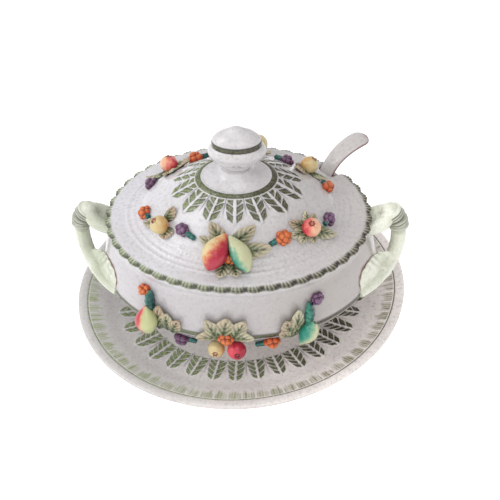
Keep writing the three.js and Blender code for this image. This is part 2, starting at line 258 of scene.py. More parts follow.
class Oval:
    """An outline turned about Z and squeezed in Y. A place on it is a bearing and an arc along it."""

    def __init__(self, curve, shortness):
        self.curve = curve
        self.shortness = shortness
        lengths = np.linalg.norm(np.diff(curve, axis=0), axis=1)
        self.arcs = np.concatenate([[0], np.cumsum(lengths)])
        self.slopes = np.gradient(curve, axis=0) / np.gradient(self.arcs)[:, None]

    def along(self, values, arc):
        return np.interp(arc, self.arcs, values)

    def arc_at_level(self, level):
        """For an outline that only climbs."""
        return np.interp(level, self.curve[:, 1], self.arcs)

    def normals(self, bearing, arc):
        run, rise = self.along(self.slopes[:, 0], arc), self.along(self.slopes[:, 1], arc)
        out = [self.shortness * rise * np.cos(bearing), rise * np.sin(bearing), -self.shortness * run]
        return unit(np.stack(np.broadcast_arrays(*out), axis=-1))

    def points(self, bearing, arc, out=0.0):
        """Points on the oval, raised out along its normals."""
        radius, level = self.along(self.curve[:, 0], arc), self.along(self.curve[:, 1], arc)
        x, y, z = np.broadcast_arrays(
            radius * np.cos(bearing), radius * self.shortness * np.sin(bearing), level)
        return np.stack([x, y, z], axis=-1) + self.normals(bearing, arc) * np.asarray(out)[..., None]

    def stride(self, bearing, arc):
        """Millimetres per radian of bearing."""
        return self.along(self.curve[:, 0], arc) * np.hypot(np.sin(bearing), self.shortness * np.cos(bearing))


def ring_faces(rings, segments):
    """Quads of a grid of closed rings, and the triangles of a fan at each end of it."""
    ring, segment = np.meshgrid(np.arange(rings - 1), np.arange(segments), indexing="ij")
    after = (segment + 1) % segments
    low, high = ring * segments, (ring + 1) * segments
    quads = np.stack([low + segment, low + after, high + after, high + segment], axis=-1).reshape(-1, 4)
    around = np.arange(segments)
    next_one = (around + 1) % segments
    bottom, top = rings * segments, rings * segments + 1
    last = (rings - 1) * segments
    caps = np.vstack([
        np.stack([np.full(segments, bottom), next_one, around], axis=1),
        np.stack([np.full(segments, top), last + around, last + next_one], axis=1),
    ])
    return quads, caps


def turned(curve, shortness, segments, decorate):
    """A closed solid from an outline that starts and ends on the axis, with its relief and paint.
    decorate(bearing, radius, level, arc) gives the relief in millimetres and a dict of layers."""
    oval = Oval(curve, shortness)
    bearing, arc = np.meshgrid(np.arange(segments) * TAU / segments, oval.arcs[1:-1])
    radius, level = oval.along(curve[:, 0], arc), oval.along(curve[:, 1], arc)
    relief, layers = decorate(bearing, radius, level, arc)
    rings = oval.points(bearing, arc, np.broadcast_to(relief, bearing.shape)).reshape(-1, 3)
    poles = np.array([[0, 0, curve[0, 1]], [0, 0, curve[-1, 1]]])
    quads, caps = ring_faces(len(curve) - 2, segments)
    flat = {
        name: np.concatenate([np.broadcast_to(values, bearing.shape).ravel(), [0, 0]])
        for name, values in layers.items()
    }
    return Form(np.vstack([rings, poles]), quads, caps, flat)


def plain(bearing, radius, level, arc):
    return 0.0, {}


def slab(upper, lower, layers, corners=(0, 1, 2, 3)):
    """A closed sheet between two grids of points. Each layer has a number for every point of one grid, and
    corners is the order in which each face takes its corners."""
    rows, columns = upper.shape[:2]
    grid = np.arange(rows * columns).reshape(rows, columns)
    a = grid[:-1, :-1].ravel()
    faces = np.stack([a, a + 1, a + columns + 1, a + columns], axis=1)[:, corners]
    loop = np.concatenate([grid[0], grid[1:, -1], grid[-1, -2::-1], grid[-2:0:-1, 0]])
    after, below = np.roll(loop, -1), grid.size
    walls = np.stack([loop, loop + below, after + below, after], axis=1)[:, corners]
    quads = np.vstack([faces, faces[:, ::-1] + below, walls])
    points = np.vstack([upper.reshape(-1, 3), lower.reshape(-1, 3)])
    twice = {
        name: np.tile(np.broadcast_to(values, (rows, columns)).ravel(), 2) for name, values in layers.items()}
    return outward(Form(points, quads, NO_TRIANGLES, twice))


# ---- moulded and painted leaf work ----

def leaf_ring(around, reach, pitch, count, length, rib, rows, taper, rng):
    """Moulded leaves side by side round an oval, each two columns of slanting leaflets beside a rib.
    around is the share of the way round, reach runs outwards from the leaves' inner ends, and pitch is
    the room that each leaf has there. rows counts the leaflets in the left and the right column, and taper
    draws the columns' outer ends in to the rib. Gives the relief, the green paint and the painted shade."""
    cell = around * count
    index = np.floor(cell).astype(int) % count
    jitter = rng.uniform(-1, 1, (4, count))
    aside = (cell - np.floor(cell) - 0.5 + 0.02 * jitter[0][index]) * pitch
    side = np.abs(aside)
    half = 0.5 * pitch - 1.3
    tip = length * (1 + 0.03 * jitter[1][index])
    inner_edge = rib + 0.3 * jitter[2][index]
    along = reach + 0.85 * side
    outer_edge = half - taper * (half - inner_edge) * smoothstep(0.45 * tip, 1.02 * tip, along)
    number = np.where(aside < 0, *rows)
    spacing = tip / number
    step = np.mod(along, spacing)
    seam = np.minimum(step, spacing - step) / 1.3
    share = np.clip((side - inner_edge) / (half - inner_edge), 0, 1)
    inside = np.minimum(np.minimum(seam - 0.36 - 0.9 * share ** 3, side - inner_edge), outer_edge - side)
    ends = smoothstep(-0.5, 1.0, reach) * smoothstep(-0.2, 0.2, tip - along)
    leaflet = smoothstep(-0.15, 0.55, inside) * ends
    body = smoothstep(-1.6, -0.5, outer_edge - side) * ends
    border = 0.5 * pitch - side
    crease = ridge(border, 0, 0.6) * smoothstep(-6, -1, reach) * smoothstep(-2, 6, tip - along)
    grain = np.cos(TAU * (2.2 * step / spacing + 0.3 * share)) * leaflet
    relief = 0.9 * body - 1.15 * leaflet + 0.22 * grain - 0.5 * crease
    # Painted shade along one edge of each leaflet and in the creases between leaves
    rim = ridge(inside, 0.2, 0.45) * ends * (step < 0.5 * spacing)
    hollow = np.clip(0.5 * crease + 0.85 * rim, 0, 1)
    return relief, leaflet * (0.82 + 0.12 * jitter[3][index] - 0.14 * grain), hollow


def brush_patches(around, depth, count, strokes, reach, rng):
    """Soft radial strokes in broad clusters round an oval. depth is the distance inwards from their roots."""
    cell = around * count
    index = np.floor(cell).astype(int) % count
    within = cell - np.floor(cell)
    pick = index * strokes + np.clip(np.floor(within * strokes).astype(int), 0, strokes - 1)
    rounded = 1 - 0.5 * (2 * within - 1) ** 4
    length = reach * (1 + 0.22 * rng.uniform(-1, 1, count * strokes))[pick] * rounded
    strength = rng.uniform(0.45, 1, count * strokes)[pick]
    comb = 0.55 + 0.45 * np.cos(TAU * (within * strokes - 0.5))
    cluster = smoothstep(0, 0.16, within) * smoothstep(1, 0.84, within)
    fade = (1 - smoothstep(0.45, 1.0, depth / length)) * smoothstep(-0.6, 0.6, depth)
    return (0.35 + 0.65 * comb) * strength * cluster * fade


def shell_flutes(around, depth, count, flutes):
    """Flutes that fan out across each scallop of an edge, 1 in a groove. depth is the distance inwards."""
    cell = around * count
    within = cell - np.floor(cell) - 0.5
    fan = within / np.clip(1 - 0.045 * depth, 0.3, 1.2) + 0.012 * depth
    groove = (0.5 + 0.5 * np.cos(TAU * flutes * fan)) ** 1.6
    return groove * smoothstep(0.52, 0.47, np.abs(fan)), within


# ---- underplate ----

PLATE_LEAVES = 34
PLATE_LEAF_TIP = 155
PLATE_LEAF_LENGTH = 35
PLATE_LINE = 188.3
PLATE_FRINGE = 17
PLATE_PATCHES = 70


def underplate_form():
    rng = np.random.default_rng(3)
    curve = outline(
        ([(0, 3), (106, 3)], 18),
        ([(106, 3), (108.4, 0.6), (110, 0), (114, 0), (116.5, 0.8), (119, 5)], 1.6),
        ([(119, 5), (160, 11), (186, 19), (196, 21.8)], 6),
        ([(196, 21.8), (199.2, 23.2), (PLATE_LONG, 24.8), (198.4, 26.1), (194.5, 26.6), (190.5, 26.0)], 0.9),
        ([(190.5, 26.0), (188.3, 25.2), (186, 24.7), (172, 20), (156, 14), (140, 11.2), (124, 9.8), (112, 9)],
         1.05),
        ([(112, 9), (98, 9)], 3),
        ([(98, 9), (0, 9)], 18),
    )
    rim_arc = Oval(curve, PLATE_SHORTNESS).arcs[np.argmax(curve[:, 0])]

    def decorate(bearing, radius, level, arc):
        upper = arc > rim_arc
        around = even_turn(bearing, PLATE_SHORTNESS)
        pitch = girth(radius, PLATE_SHORTNESS) / PLATE_LEAVES
        inner = PLATE_LEAF_TIP - PLATE_LEAF_LENGTH
        relief, leaflet, hollow = leaf_ring(
            around, radius - inner, pitch, PLATE_LEAVES, PLATE_LEAF_LENGTH, 1.3, (5, 4), 0.45, rng)
        fringe = brush_patches(around, PLATE_LINE - 1.5 - radius, PLATE_PATCHES, 5, PLATE_FRINGE, rng)
        line = ridge(radius, PLATE_LINE, 0.8)
        wave = 0.25 * np.sin(TAU * 3 * around + 1) + 0.15 * np.sin(TAU * 7 * around)
        relief = np.where(upper, relief - 0.35 * line - 0.3 * fringe, 0) + wave * smoothstep(120, 200, radius)
        return relief, {
            "green": upper * np.clip(leaflet + 0.85 * line, 0, 1),
            "wash": upper * fringe,
            "hollow": upper * hollow,
            "brown": ridge(arc, rim_arc - 1.5, 1.3),
        }

    form = turned(curve, PLATE_SHORTNESS, 1020, decorate)
    return form.moved(turn_about_z(PLATE_TURN))


# ---- tureen bowl ----

BELLY_CURVE = smooth_curve(
    [(102, 20), (125, 38), (148, 58), (BELLY_LONG, 80), (154.5, 100), (149, 120), (144.3, 132)], 1.3)
RIM_BEADS = 150
RIM_BEAD_LEVEL = 140
BAND_LEVEL = 79.8
BAND_HALF = 2.7
MOULDING_DROP = 5.2
LINE_DROP = 8.6


def tureen_bowl_form():
    inside = offset(BELLY_CURVE, -WALL)[::-4]
    inside = inside[inside[:, 1] > FLOOR_TOP + 4]
    floor_edge = FOOT_LONG - 6
    curve = np.vstack([
        outline(
            ([(0, 17.5), (88.5, 17.5)], 15),
            ([(88.5, 17.5), (90.4, 11), (92, 9.4), (98, 9.4), (99.4, 10.8), (99.8, 15), (102, 20)], 1.2),
        ),
        BELLY_CURVE[1:],
        outline(
            ([(144, 134), (143.9, 138), (143.8, 141.8)], 0.9),
            ([(143.8, 141.8), (143.2, 142.6), (139.2, 142.6), (MOUTH_LONG, 141.9)], 1.2),
            ([(MOUTH_LONG, 141.9), (137.6, 137)], 2),
        ),
        inside,
        outline(([(floor_edge + 3, 26.5), (floor_edge - 4, FLOOR_TOP), (0, FLOOR_TOP)], 9)),
    ])

    def decorate(bearing, radius, level, arc):
        around = even_turn(bearing, BOWL_SHORTNESS)
        outside = arc < Oval(curve, BOWL_SHORTNESS).arcs[np.argmax(curve[:, 1])]
        beads = np.abs(np.cos(math.pi * RIM_BEADS * around)) * ridge(level, RIM_BEAD_LEVEL, 1.6)
        band = smoothstep(2.6, 1.9, np.abs(level - BAND_LEVEL))
        swell = 0.3 * np.sin(TAU * 2 * around + 0.7) + 0.15 * np.sin(TAU * 5 * around)
        moulding = ridge(level, BAND_LEVEL - MOULDING_DROP, 2.0)
        relief = outside * (0.5 * beads + 0.35 * band + 0.9 * moulding + swell * ridge(level, 90, 30))
        # Dark painted lines on the band's edges; painted shade in a line below the moulding and on the neck
        # under the lid
        outlines = ridge(np.abs(level - BAND_LEVEL), BAND_HALF, 1.2)
        outlines = outlines + 0.9 * ridge(level, BAND_LEVEL - LINE_DROP, 1.6)
        return relief, {
            "green": outside * 0.85 * band,
            "hollow": outside * np.clip(1.1 * outlines + 0.25 * band + 0.2 * ridge(level, 136, 1.4), 0, 1),
        }

    return turned(curve, BOWL_SHORTNESS, 560, decorate)


# ---- lid ----

DOME_CURVE = outline(
    ([(146.3, 147.0), (144, 148.2), (139.4, 149.5), (124.7, 151), (114, 154), (107, 158), (98.3, 166),
      (88, 172), (66, 187), (CONE_LONG + 1, 199.1)], 1.05),
    ([(CONE_LONG + 1, 199.1), (CONE_LONG, 200.0), (39, 200.7), (38, 200.3)], 0.8),
    ([(38, 200.3), (26, 204.2), (18.5, 208.6), (15, 213)], 1.2),
)
LID_SCALLOPS = 47
LID_SCALLOP_DEPTH = 3
LID_FLUTES = 4
LID_STROKE_REACH = 9.5
LID_LEAVES = 14
LID_LEAF_LENGTH = 33
LID_RIDGES = (107.5, 114.5, 122)
LID_RIDGES_END = 135
LID_BEADS = 130
LID_EDGE_START = (125, 140)
LID_SCALLOP_START = (138.5, 146)
CONE_BAND_INNER = 36.8


def lid_body_form():
    rng = np.random.default_rng(7)
    under = outline(
        ([(0, 199), (36, 193.5), (64, 180), (96, 159.5), (120, 147), (128.4, 144.6)], 8),
        ([(128.4, 144.6), (129, 143.6), (129, 135.6), (130, 134.4), (132, 134.4), (133, 135.4), (134, 142)],
         1.5),
        ([(134, 142), (135, 142.9), (144.6, 142.9)], 2),
        ([(144.6, 142.9), (146.4, 143.6), (146.9, 145.3), (146.3, 147.0)], 0.7),
    )
    curve = np.vstack([under, DOME_CURVE[1:], [(0, 213)]])
    edge_arc = Oval(curve, LID_SHORTNESS).arcs[len(under) - 1]
    dome_arcs = Oval(DOME_CURVE, LID_SHORTNESS).arcs
    cone_arc = edge_arc + np.interp(-(CONE_LONG + 1.5), -DOME_CURVE[:, 0], dome_arcs)

    def decorate(bearing, radius, level, arc):
        around = even_turn(bearing, LID_SHORTNESS)
        upper = smoothstep(edge_arc - 0.5, edge_arc + 0.2, arc)
        pitch = girth(radius, LID_SHORTNESS) / LID_LEAVES
        relief, leaflet, hollow = leaf_ring(
            around, cone_arc - arc, pitch, LID_LEAVES, LID_LEAF_LENGTH, 1.5, (3, 3), 0.4, rng)
        depth = np.abs(arc - edge_arc)
        groove, within = shell_flutes(around, depth, LID_SCALLOPS, LID_FLUTES)
        painted = smoothstep(LID_STROKE_REACH, 2.0, depth)
        strokes = (0.3 + 0.5 * groove) * painted
        cusp = smoothstep(0.1, 0.38, within) + smoothstep(-0.38, -0.47, within)
        cusp = np.clip(cusp, 0, 1) * smoothstep(8.0, 2.5, depth) * (0.75 + 0.25 * groove)
        rim = smoothstep(1.8, 0.4, depth)
        lobe = np.cos(math.pi * within) * ridge(arc, edge_arc - 1, 4.5)
        ridges = sum(ridge(radius, middle, 1.7) for middle in LID_RIDGES)
        beading = 1 + 0.22 * np.sin(TAU * LID_BEADS * around)
        dome = upper * (radius < LID_RIDGES_END)
        band = smoothstep(CONE_BAND_INNER, CONE_BAND_INNER + 0.6, radius) * upper
        band = band * smoothstep(CONE_LONG + 0.9, CONE_LONG + 0.3, radius)
        collar = smoothstep(CONE_LONG + 1, 38.5, radius) * smoothstep(34.5, 37, radius) * upper
        outer = smoothstep(*LID_EDGE_START, radius)
        relief = upper * relief + 1.4 * collar + dome * 0.85 * ridges * beading
        relief = relief + 0.8 * outer * (lobe - groove * painted)
        dark = cusp + 0.6 * rim + 0.2 * groove * painted
        return relief, {
            "green": np.clip(upper * leaflet + band + strokes * outer, 0, 1),
            "wash": outer * painted * 0.5,
            "hollow": np.clip(upper * hollow + 0.3 * band + outer * dark, 0, 1),
        }

    return scalloped(turned(curve, LID_SHORTNESS, 940, decorate))


def scalloped(form):
    """Draws the lid's edge in between its scallops."""
    x, y = form.points[:, 0], form.points[:, 1] / LID_SHORTNESS
    around = even_turn(np.arctan2(y, x) % TAU, LID_SHORTNESS)
    drawn_in = 1 - np.abs(np.cos(math.pi * (around * LID_SCALLOPS % 1 - 0.5))) ** 0.7
    reach = np.hypot(x, y)
    pull = LID_SCALLOP_DEPTH * drawn_in * smoothstep(*LID_SCALLOP_START, reach) / np.maximum(reach, 1)
    form.points[:, :2] *= 1 - pull[:, None]
    return form


def notch_cutter():
    """A slot with a round inner end, open to the lid's edge."""
    half = NOTCH_WIDTH / 2
    turn = np.linspace(math.pi / 2, 1.5 * math.pi, 25)
    inner = np.stack([NOTCH_INNER + half * 0.6 + half * 0.6 * np.cos(turn), half * np.sin(turn)], axis=1)
    loop = np.vstack([[(165, half)], inner, [(165, -half)]])
    count = len(loop)
    points = np.vstack([np.c_[loop, np.full(count, level)] for level in (120, 175)])
    middle = np.array([[140, 0, 120], [140, 0, 175]])
    quads, caps = ring_faces(2, count)
    cutter = Form(np.vstack([points, middle]), quads, caps)
    return cutter.moved(turn_about_z(LADLE_BEARING))


def lid_mesh():
    cutter = bpy.data.objects.new("cutter", to_mesh("cutter", notch_cutter()))
    bpy.context.scene.collection.objects.link(cutter)

    def cut(worker):
        notch = worker.modifiers.new("notch", "BOOLEAN")
        notch.operation = "DIFFERENCE"
        notch.solver = "EXACT"
        notch.object = cutter

    mesh = with_modifiers(to_mesh("lid", lid_body_form()), cut)
    bpy.data.objects.remove(cutter)
    mesh.shade_smooth()
    return mesh


# ---- knob ----

KNOB_BAND = (243.4, 249.6)
KNOB_PETALS = 6
KNOB_PETAL_LEVEL = 226


def lid_knob_form():
    curve = outline(
        ([(0, 213.3), (12.5, 213.3)], 4),
        ([(12.5, 213.3), (12.8, 217), (16, 220.5), (22, 224), (27.6, 229), (30, 235), (28.6, 240),
          (25.4, 243.2)], 0.6),
        ([(25.4, 243.2), (25.3, 244.4), (25.2, 248), (24.4, 250.6)], 0.5),
        ([(24.4, 250.6), (23.7, 252.0), (19, 256.4), (11, 261.0), (5, 264.6), (0, 266)], 0.8),
    )

    def decorate(bearing, radius, level, arc):
        around = even_turn(bearing, KNOB_SHORTNESS)
        low, high = KNOB_BAND
        band = smoothstep(low, low + 0.6, level) * smoothstep(high, high - 0.6, level)
        petals = np.abs(np.cos(math.pi * KNOB_PETALS * around)) ** 3 * ridge(level, KNOB_PETAL_LEVEL, 3.2)
        slant = np.abs(np.mod(around * KNOB_PETALS, 1) - 0.5) * 60 + (level - KNOB_PETAL_LEVEL) * 1.2
        veins = ridge(slant, 9, 1.6) * ridge(level, KNOB_PETAL_LEVEL, 4)
        relief = 0.7 * petals - 0.5 * veins + 0.25 * band
        edges = 0.8 * (ridge(level, low + 0.4, 0.7) + ridge(level, high - 0.3, 0.7))
        return relief, {"green": band, "hollow": np.clip(0.9 * veins + edges + 0.5 * band, 0, 1)}

    form = turned(curve, KNOB_SHORTNESS, 240, decorate)
    return form.moved(shifted(KNOB_SHIFT, 0, 0))


# ---- swept branches and straps ----

def swept(places, section, step=1.2, segments=40, across=(0.0, 1.0, 0.0)):
    """A closed bar along a smooth path in space, which never runs along the across direction.
    section(share, turn) gives its offsets towards across and at right angles to it."""
    path = smooth_curve(places, step)
    along = unit(np.gradient(path, axis=0))
    out = unit(np.cross(along, np.array(across)))
    side = np.cross(out, along)
    grid_share, grid_turn = np.meshgrid(
        np.linspace(0, 1, len(path)), np.arange(segments) * TAU / segments, indexing="ij")
    wide, thick = section(grid_share, grid_turn)
    rings = path[:, None] + side[:, None] * wide[..., None] + out[:, None] * thick[..., None]
    quads, caps = ring_faces(len(path), segments)
    layers = {"share": np.concatenate([grid_share.ravel(), [0, 1]])}
    return outward(Form(np.vstack([rings.reshape(-1, 3), path[:1], path[-1:]]), quads, caps, layers))


def round_section(start, end):
    """A round bar that grows evenly from one radius to another."""
    return lambda share, turn: (
        (start + (end - start) * share) * np.cos(turn), (start + (end - start) * share) * np.sin(turn))


def torus(centre, axis, radius, thickness):
    """A round ring about an axis."""
    axis = unit(np.array(axis, float))
    first = unit(np.cross(axis, (0.0, 1.0, 0.3)))
    second = np.cross(axis, first)
    long, short = 48, 12
    i, j = np.meshgrid(np.arange(long), np.arange(short), indexing="ij")
    around, turn = i * TAU / long, j * TAU / short
    reach = (radius + thickness * np.cos(turn))[..., None]
    points = centre + reach * (np.cos(around)[..., None] * first + np.sin(around)[..., None] * second)
    points = points + (thickness * np.sin(turn))[..., None] * axis
    here, after = i * short, (i + 1) % long * short
    beside = (j + 1) % short
    quads = np.stack([here + j, here + beside, after + beside, after + j], axis=-1).reshape(-1, 4)
    return outward(Form(points.reshape(-1, 3), quads, NO_TRIANGLES))


# ---- handles ----

KNUCKLE = (168, 0, 150)
HEEL = (165, -26, 76)
HANDLE_STEM = [KNUCKLE, (176, 0, 138), (180.5, 0, 116), (181, 0, 97), (178.5, -3, 84), (173, -11, 76), HEEL]
HANDLE_TOE = [HANDLE_STEM[-2], HEEL, (154, -43, 78), (142.5, -56, 80), (136, -62, 81)]
WEB_EDGE = [
    (158, -14, 98), (147, -30, 107), (141.5, -42, 111.5), (136, -52, 111), (133, -58.5, 104),
    (133.5, -61, 94), (136.5, -61, 85)]
WEB_FLUTES = 7
WEB_LIFT = 1.3
WEB_THICKNESS = 4
RING_REACHES = (0, 3.6, 7.2, 13.5, 17, 23)
BOUND_REACH = 34


def handle_form():
    """The right handle: a forked branch bound with raised rings. Its foot leans to the front, where it has
    a toe and a leaf-like web on the belly."""
    def stem_section(share, turn):
        radius = BRANCH_RADIUS * (1 + 0.1 * ridge(share, 0.12, 0.1) - 0.06 * smoothstep(0.3, 1, share))
        groove = 1 - 0.035 * np.cos(3 * turn + 2 * share)
        return radius * groove * np.cos(turn), radius * groove * np.sin(turn)

    def prong(side):
        spread = side * PRONG_SPREAD
        places = [(140, spread, 131), (150, spread, 134.5), (160, side * 9, 141), KNUCKLE]
        return swept(places, round_section(7.5, 8.2), segments=28)

    path, along, travel = stem_path()
    rings = []
    for reach in RING_REACHES:
        i = int(np.searchsorted(travel, reach))
        rings.append(torus(path[i], along[i], BRANCH_RADIUS + 1.0, 1.9))
    knuckle = ball(np.array(KNUCKLE) + (-1.5, 0, 0.5), 9.4)
    between = swept([(139, 0, 130), (150, 0, 133), (160, 0, 139)], lambda share, turn: (
        9 * np.cos(turn), 4.5 * np.sin(turn)), segments=28)
    bars = [swept(HANDLE_STEM, stem_section), swept(HANDLE_TOE, round_section(8.0, 4.4)), prong(-1), prong(1)]
    return painted_handle(fused(joined([*bars, knuckle, between, handle_web(), *rings]), 0.7, 1))


def stem_path():
    """The stem's middle line, its directions and the way along it."""
    path = smooth_curve(HANDLE_STEM, 1.0)
    travel = np.concatenate([[0], np.cumsum(np.linalg.norm(np.diff(path, axis=0), axis=1))])
    return path, unit(np.gradient(path, axis=0)), travel


def handle_web():
    """The fluted web that opens from the foot's bar and lies on the belly along its edge."""
    bar = smooth_curve([(178, -4, 88), *HANDLE_STEM[-2:], *HANDLE_TOE[2:4]], 0.5)
    edge = smooth_curve(WEB_EDGE, 0.5)
    rows, columns = 60, 40
    along, across = np.meshgrid(np.linspace(0, 1, rows), np.linspace(0, 1, columns), indexing="ij")
    starts = bar[(along * (len(bar) - 1)).astype(int)]
    ends = edge[(along * (len(edge) - 1)).astype(int)]
    sheet = starts + across[..., None] * (ends - starts)
    out = unit(np.cross(np.gradient(sheet, axis=0), np.gradient(sheet, axis=1)))
    out = out * np.sign(out[..., 2:3])
    flutes = np.cos(TAU * WEB_FLUTES * along) * smoothstep(0.25, 0.6, across)
    sheet = sheet + out * (1.5 + 0.45 * flutes - 2.2 * np.sin(math.pi * across))[..., None]
    belly = np.interp(sheet[..., 2], BELLY_CURVE[:, 1], BELLY_CURVE[:, 0]) + WEB_LIFT + 0.45 * flutes
    reach = np.hypot(sheet[..., 0], sheet[..., 1] / BOWL_SHORTNESS)
    sheet[..., :2] *= np.maximum(1, belly / reach)[..., None]
    grooves = smoothstep(0.2, -0.9, flutes) * smoothstep(0.5, 0.9, across) * smoothstep(0.8, 0.3, along)
    return slab(sheet, sheet - out * WEB_THICKNESS, {
        "brown": 0.8 * smoothstep(0.955, 0.985, across), "hollow": 0.45 * grooves}, corners=(0, 3, 2, 1))


def painted_handle(form):
    x, y, z = form.points.T
    path, along, travel = stem_path()
    bound = travel < BOUND_REACH
    path, along, travel = path[bound], along[bound], travel[bound]
    apart = np.linalg.norm(form.points[:, None] - path[None], axis=2)
    nearest = np.argmin(apart, axis=1)
    reach = travel[nearest] + np.sum((form.points - path[nearest]) * along[nearest], axis=1)
    near = smoothstep(13, 11.5, np.min(apart, axis=1))
    # Painted shade in the gaps between the rings and over the bound part, and dark paint in the fork
    gaps = sum(ridge(reach, middle + 1.9, 0.9) for middle in RING_REACHES)
    gaps = np.clip(gaps + ridge(reach, RING_REACHES[2] + 3.1, 2.0), 0, 1) * near
    shade = smoothstep(-1, 1, reach) * smoothstep(33, 29, reach) * near
    forks = [np.linalg.norm(form.points - (163, side * 8.5, 138), axis=1) for side in (-1, 1)]
    crotch = sum(ridge(fork, 0, 4.2) for fork in forks)
    grain = 0.12 * np.sin(z * 0.55 + 2 * np.sin(np.arctan2(y, x - 172) * 2))
    form.points[:, 0] += grain
    form.layers = {
        "brown": np.clip(form.layers["brown"] + crotch, 0, 1),
        "hollow": np.clip(form.layers["hollow"] + 0.95 * gaps + 0.25 * shade + 0.5 * crotch, 0, 1),
    }
    return form


def mirrored(form):
    """The same form on the other side of X = 0."""
    return Form(form.points * (-1, 1, 1), form.quads[:, ::-1], form.triangles[:, ::-1], form.layers)


def ball(centre, radius, segments=28):
    """A closed round form with even rings."""
    tilt = np.linspace(-math.pi / 2, math.pi / 2, segments // 2 + 1)
    curve = np.stack([radius * np.cos(tilt), radius * np.sin(tilt)], axis=1)
    return turned(curve, 1.0, segments, plain).moved(shifted(*centre))


# ---- ladle ----

def ladle_form():
    """A round bowl on a strap that leaves through the lid's notch and curls over at its rounded end."""
    places = [
        (LADLE_BOWL_REACH + LADLE_BOWL_RADIUS - 2, 0, 50), (62, 0, 72), (93, 0, 110), (119, 0, 147),
        (128.5, 0, 161), (138, 0, 169), (150, 0, 174.5), (161, 0, 176.8), (168, 0, 177), (174, 0, 176),
    ]

    def section(share, turn):
        end = np.sqrt(np.clip(1 - (np.clip(share - 0.94, 0, 1) / 0.06) ** 2, 0.004, 1))
        half = (10.6 + 1.6 * smoothstep(0.7, 0.92, share)) * end
        thick = 3.2 * (0.35 + 0.65 * end)
        flat = np.sign(np.cos(turn)) * np.abs(np.cos(turn)) ** 0.8
        return half * flat, thick * np.sin(turn) * (1 - 0.12 * np.cos(turn) ** 2)

    segments = 64
    strap = swept(places, section, 1.0, segments)
    edges = ridge(np.abs(np.cos(np.arange(segments) * TAU / segments)), 1, 0.1)
    strap.layers["edge"] = np.concatenate([np.tile(edges, (len(strap.points) - 2) // segments), [0, 0]])
    outer, inner = LADLE_BOWL_RADIUS, LADLE_BOWL_RADIUS - 3
    cup = outline(
        ([(0, -24), (outer * 0.5, -21), (outer * 0.87, -12), (outer - 0.2, -1)], 1.2),
        ([(outer - 0.2, -1), (outer - 1.2, 0.3), (inner + 0.6, -0.4)], 0.8),
        ([(inner + 0.6, -0.4), (inner * 0.87, -10.6), (inner * 0.5, -18.2), (0, -21)], 1.2),
    )
    bowl = turned(cup, 1.0, 120, plain)
    bowl = bowl.moved(shifted(LADLE_BOWL_REACH, 0, LADLE_BOWL_RIM))
    form = fused(joined([strap, bowl]), 0.8, 3)
    share, edge = form.layers["share"], form.layers["edge"]
    brown = edge * smoothstep(0.3, 0.6, share) + smoothstep(0.972, 0.99, share)
    form.layers = {"brown": np.clip(brown, 0, 1)}
    return form.moved(turn_about_z(LADLE_BEARING))


# ---- fruit, berries, pods and leaves, each standing on Z = 0 with its tip along +Y ----

LIE_DOWN = np.array(Matrix.Rotation(-math.pi / 2, 4, "X"))


def pear(length, width, bend=0.0, cleft=0.0, flank=1):
    """A pear that lies along +Y, pointed at both ends. Its flank is 1 or -1, for the way its blush faces."""
    half, wide = length / 2, width / 2
    curve = outline(
        ([(0, -half), (wide * 0.2, -half * 0.95), (wide * 0.56, -half * 0.74), (wide * 0.88, -half * 0.42),
          (wide, -half * 0.1), (wide * 0.88, half * 0.25), (wide * 0.58, half * 0.58),
          (wide * 0.28, half * 0.84), (wide * 0.12, half * 0.97), (0, half)], 0.7),
    )

    def decorate(bearing, radius, level, arc):
        flat = 0.03 * wide * np.sin(2 * bearing) + 0.03 * wide * np.cos(3 * bearing + 1)
        seam = -cleft * ridge(np.cos(bearing - 2.0), 1, 0.03) * ridge(level, 0, half * 0.8)
        return flat * np.sin(np.clip(radius / wide, 0, 1) * math.pi / 2) + seam, {
            "side": 0.5 + 0.5 * flank * radius * np.cos(bearing) / wide,
            "tip": (level + half) / length,
            "eye": ridge(radius / wide, 0, 0.25) * (level < 0),
        }

    form = turned(curve, 1.0, 56, decorate).moved(LIE_DOWN)
    form.points[:, 0] += bend * (form.points[:, 1] / half) ** 2
    form.points[:, 2] += width * 0.42
    return form


def apple(radius, eye):
    """A round fruit whose star-shaped eye looks along the given direction."""
    tilt = np.linspace(-math.pi / 2, math.pi / 2, 44)
    dimple = 1 - 0.2 * ridge(np.abs(tilt), math.pi / 2, 0.34)
    curve = radius * np.stack([np.cos(tilt) * dimple, np.sin(tilt) * dimple * 0.97], axis=1)
    curve[[0, -1], 0] = 0

    def decorate(bearing, around_radius, level, arc):
        share = around_radius / radius
        lobes = 0.03 * radius * np.cos(5 * bearing) * smoothstep(0, radius, np.abs(level))
        petals = 0.6 + 0.4 * np.cos(6 * bearing + 1)
        crown = 0.9 * ridge(share, 0.33, 0.12) * (level > 0) * petals
        star = ridge(share, 0.24, 0.14) * (0.6 + 0.4 * petals) + 0.35 * ridge(share, 0, 0.1)
        return lobes + crown, {
            "eye": np.clip(star, 0, 1) * (level > 0),
            "tip": (level / radius + 1) / 2,
            "side": 0.5 + 0.5 * share * np.cos(bearing),
        }

    turn = Vector((0, 0, 1)).rotation_difference(Vector(eye)).to_matrix().to_4x4()
    return turned(curve, 1.0, 56, decorate).moved(np.array(turn))


def place_apple(host, radius, eye, bearing, level):
    """Stands an apple on its host. The eye's direction is in the tureen's own axes."""
    matrix = tangent_frame(host, bearing, level)
    shift = matrix[:3, 3] + matrix[:3, 2] * radius * 0.8
    return apple(radius, eye).moved(shifted(*shift))


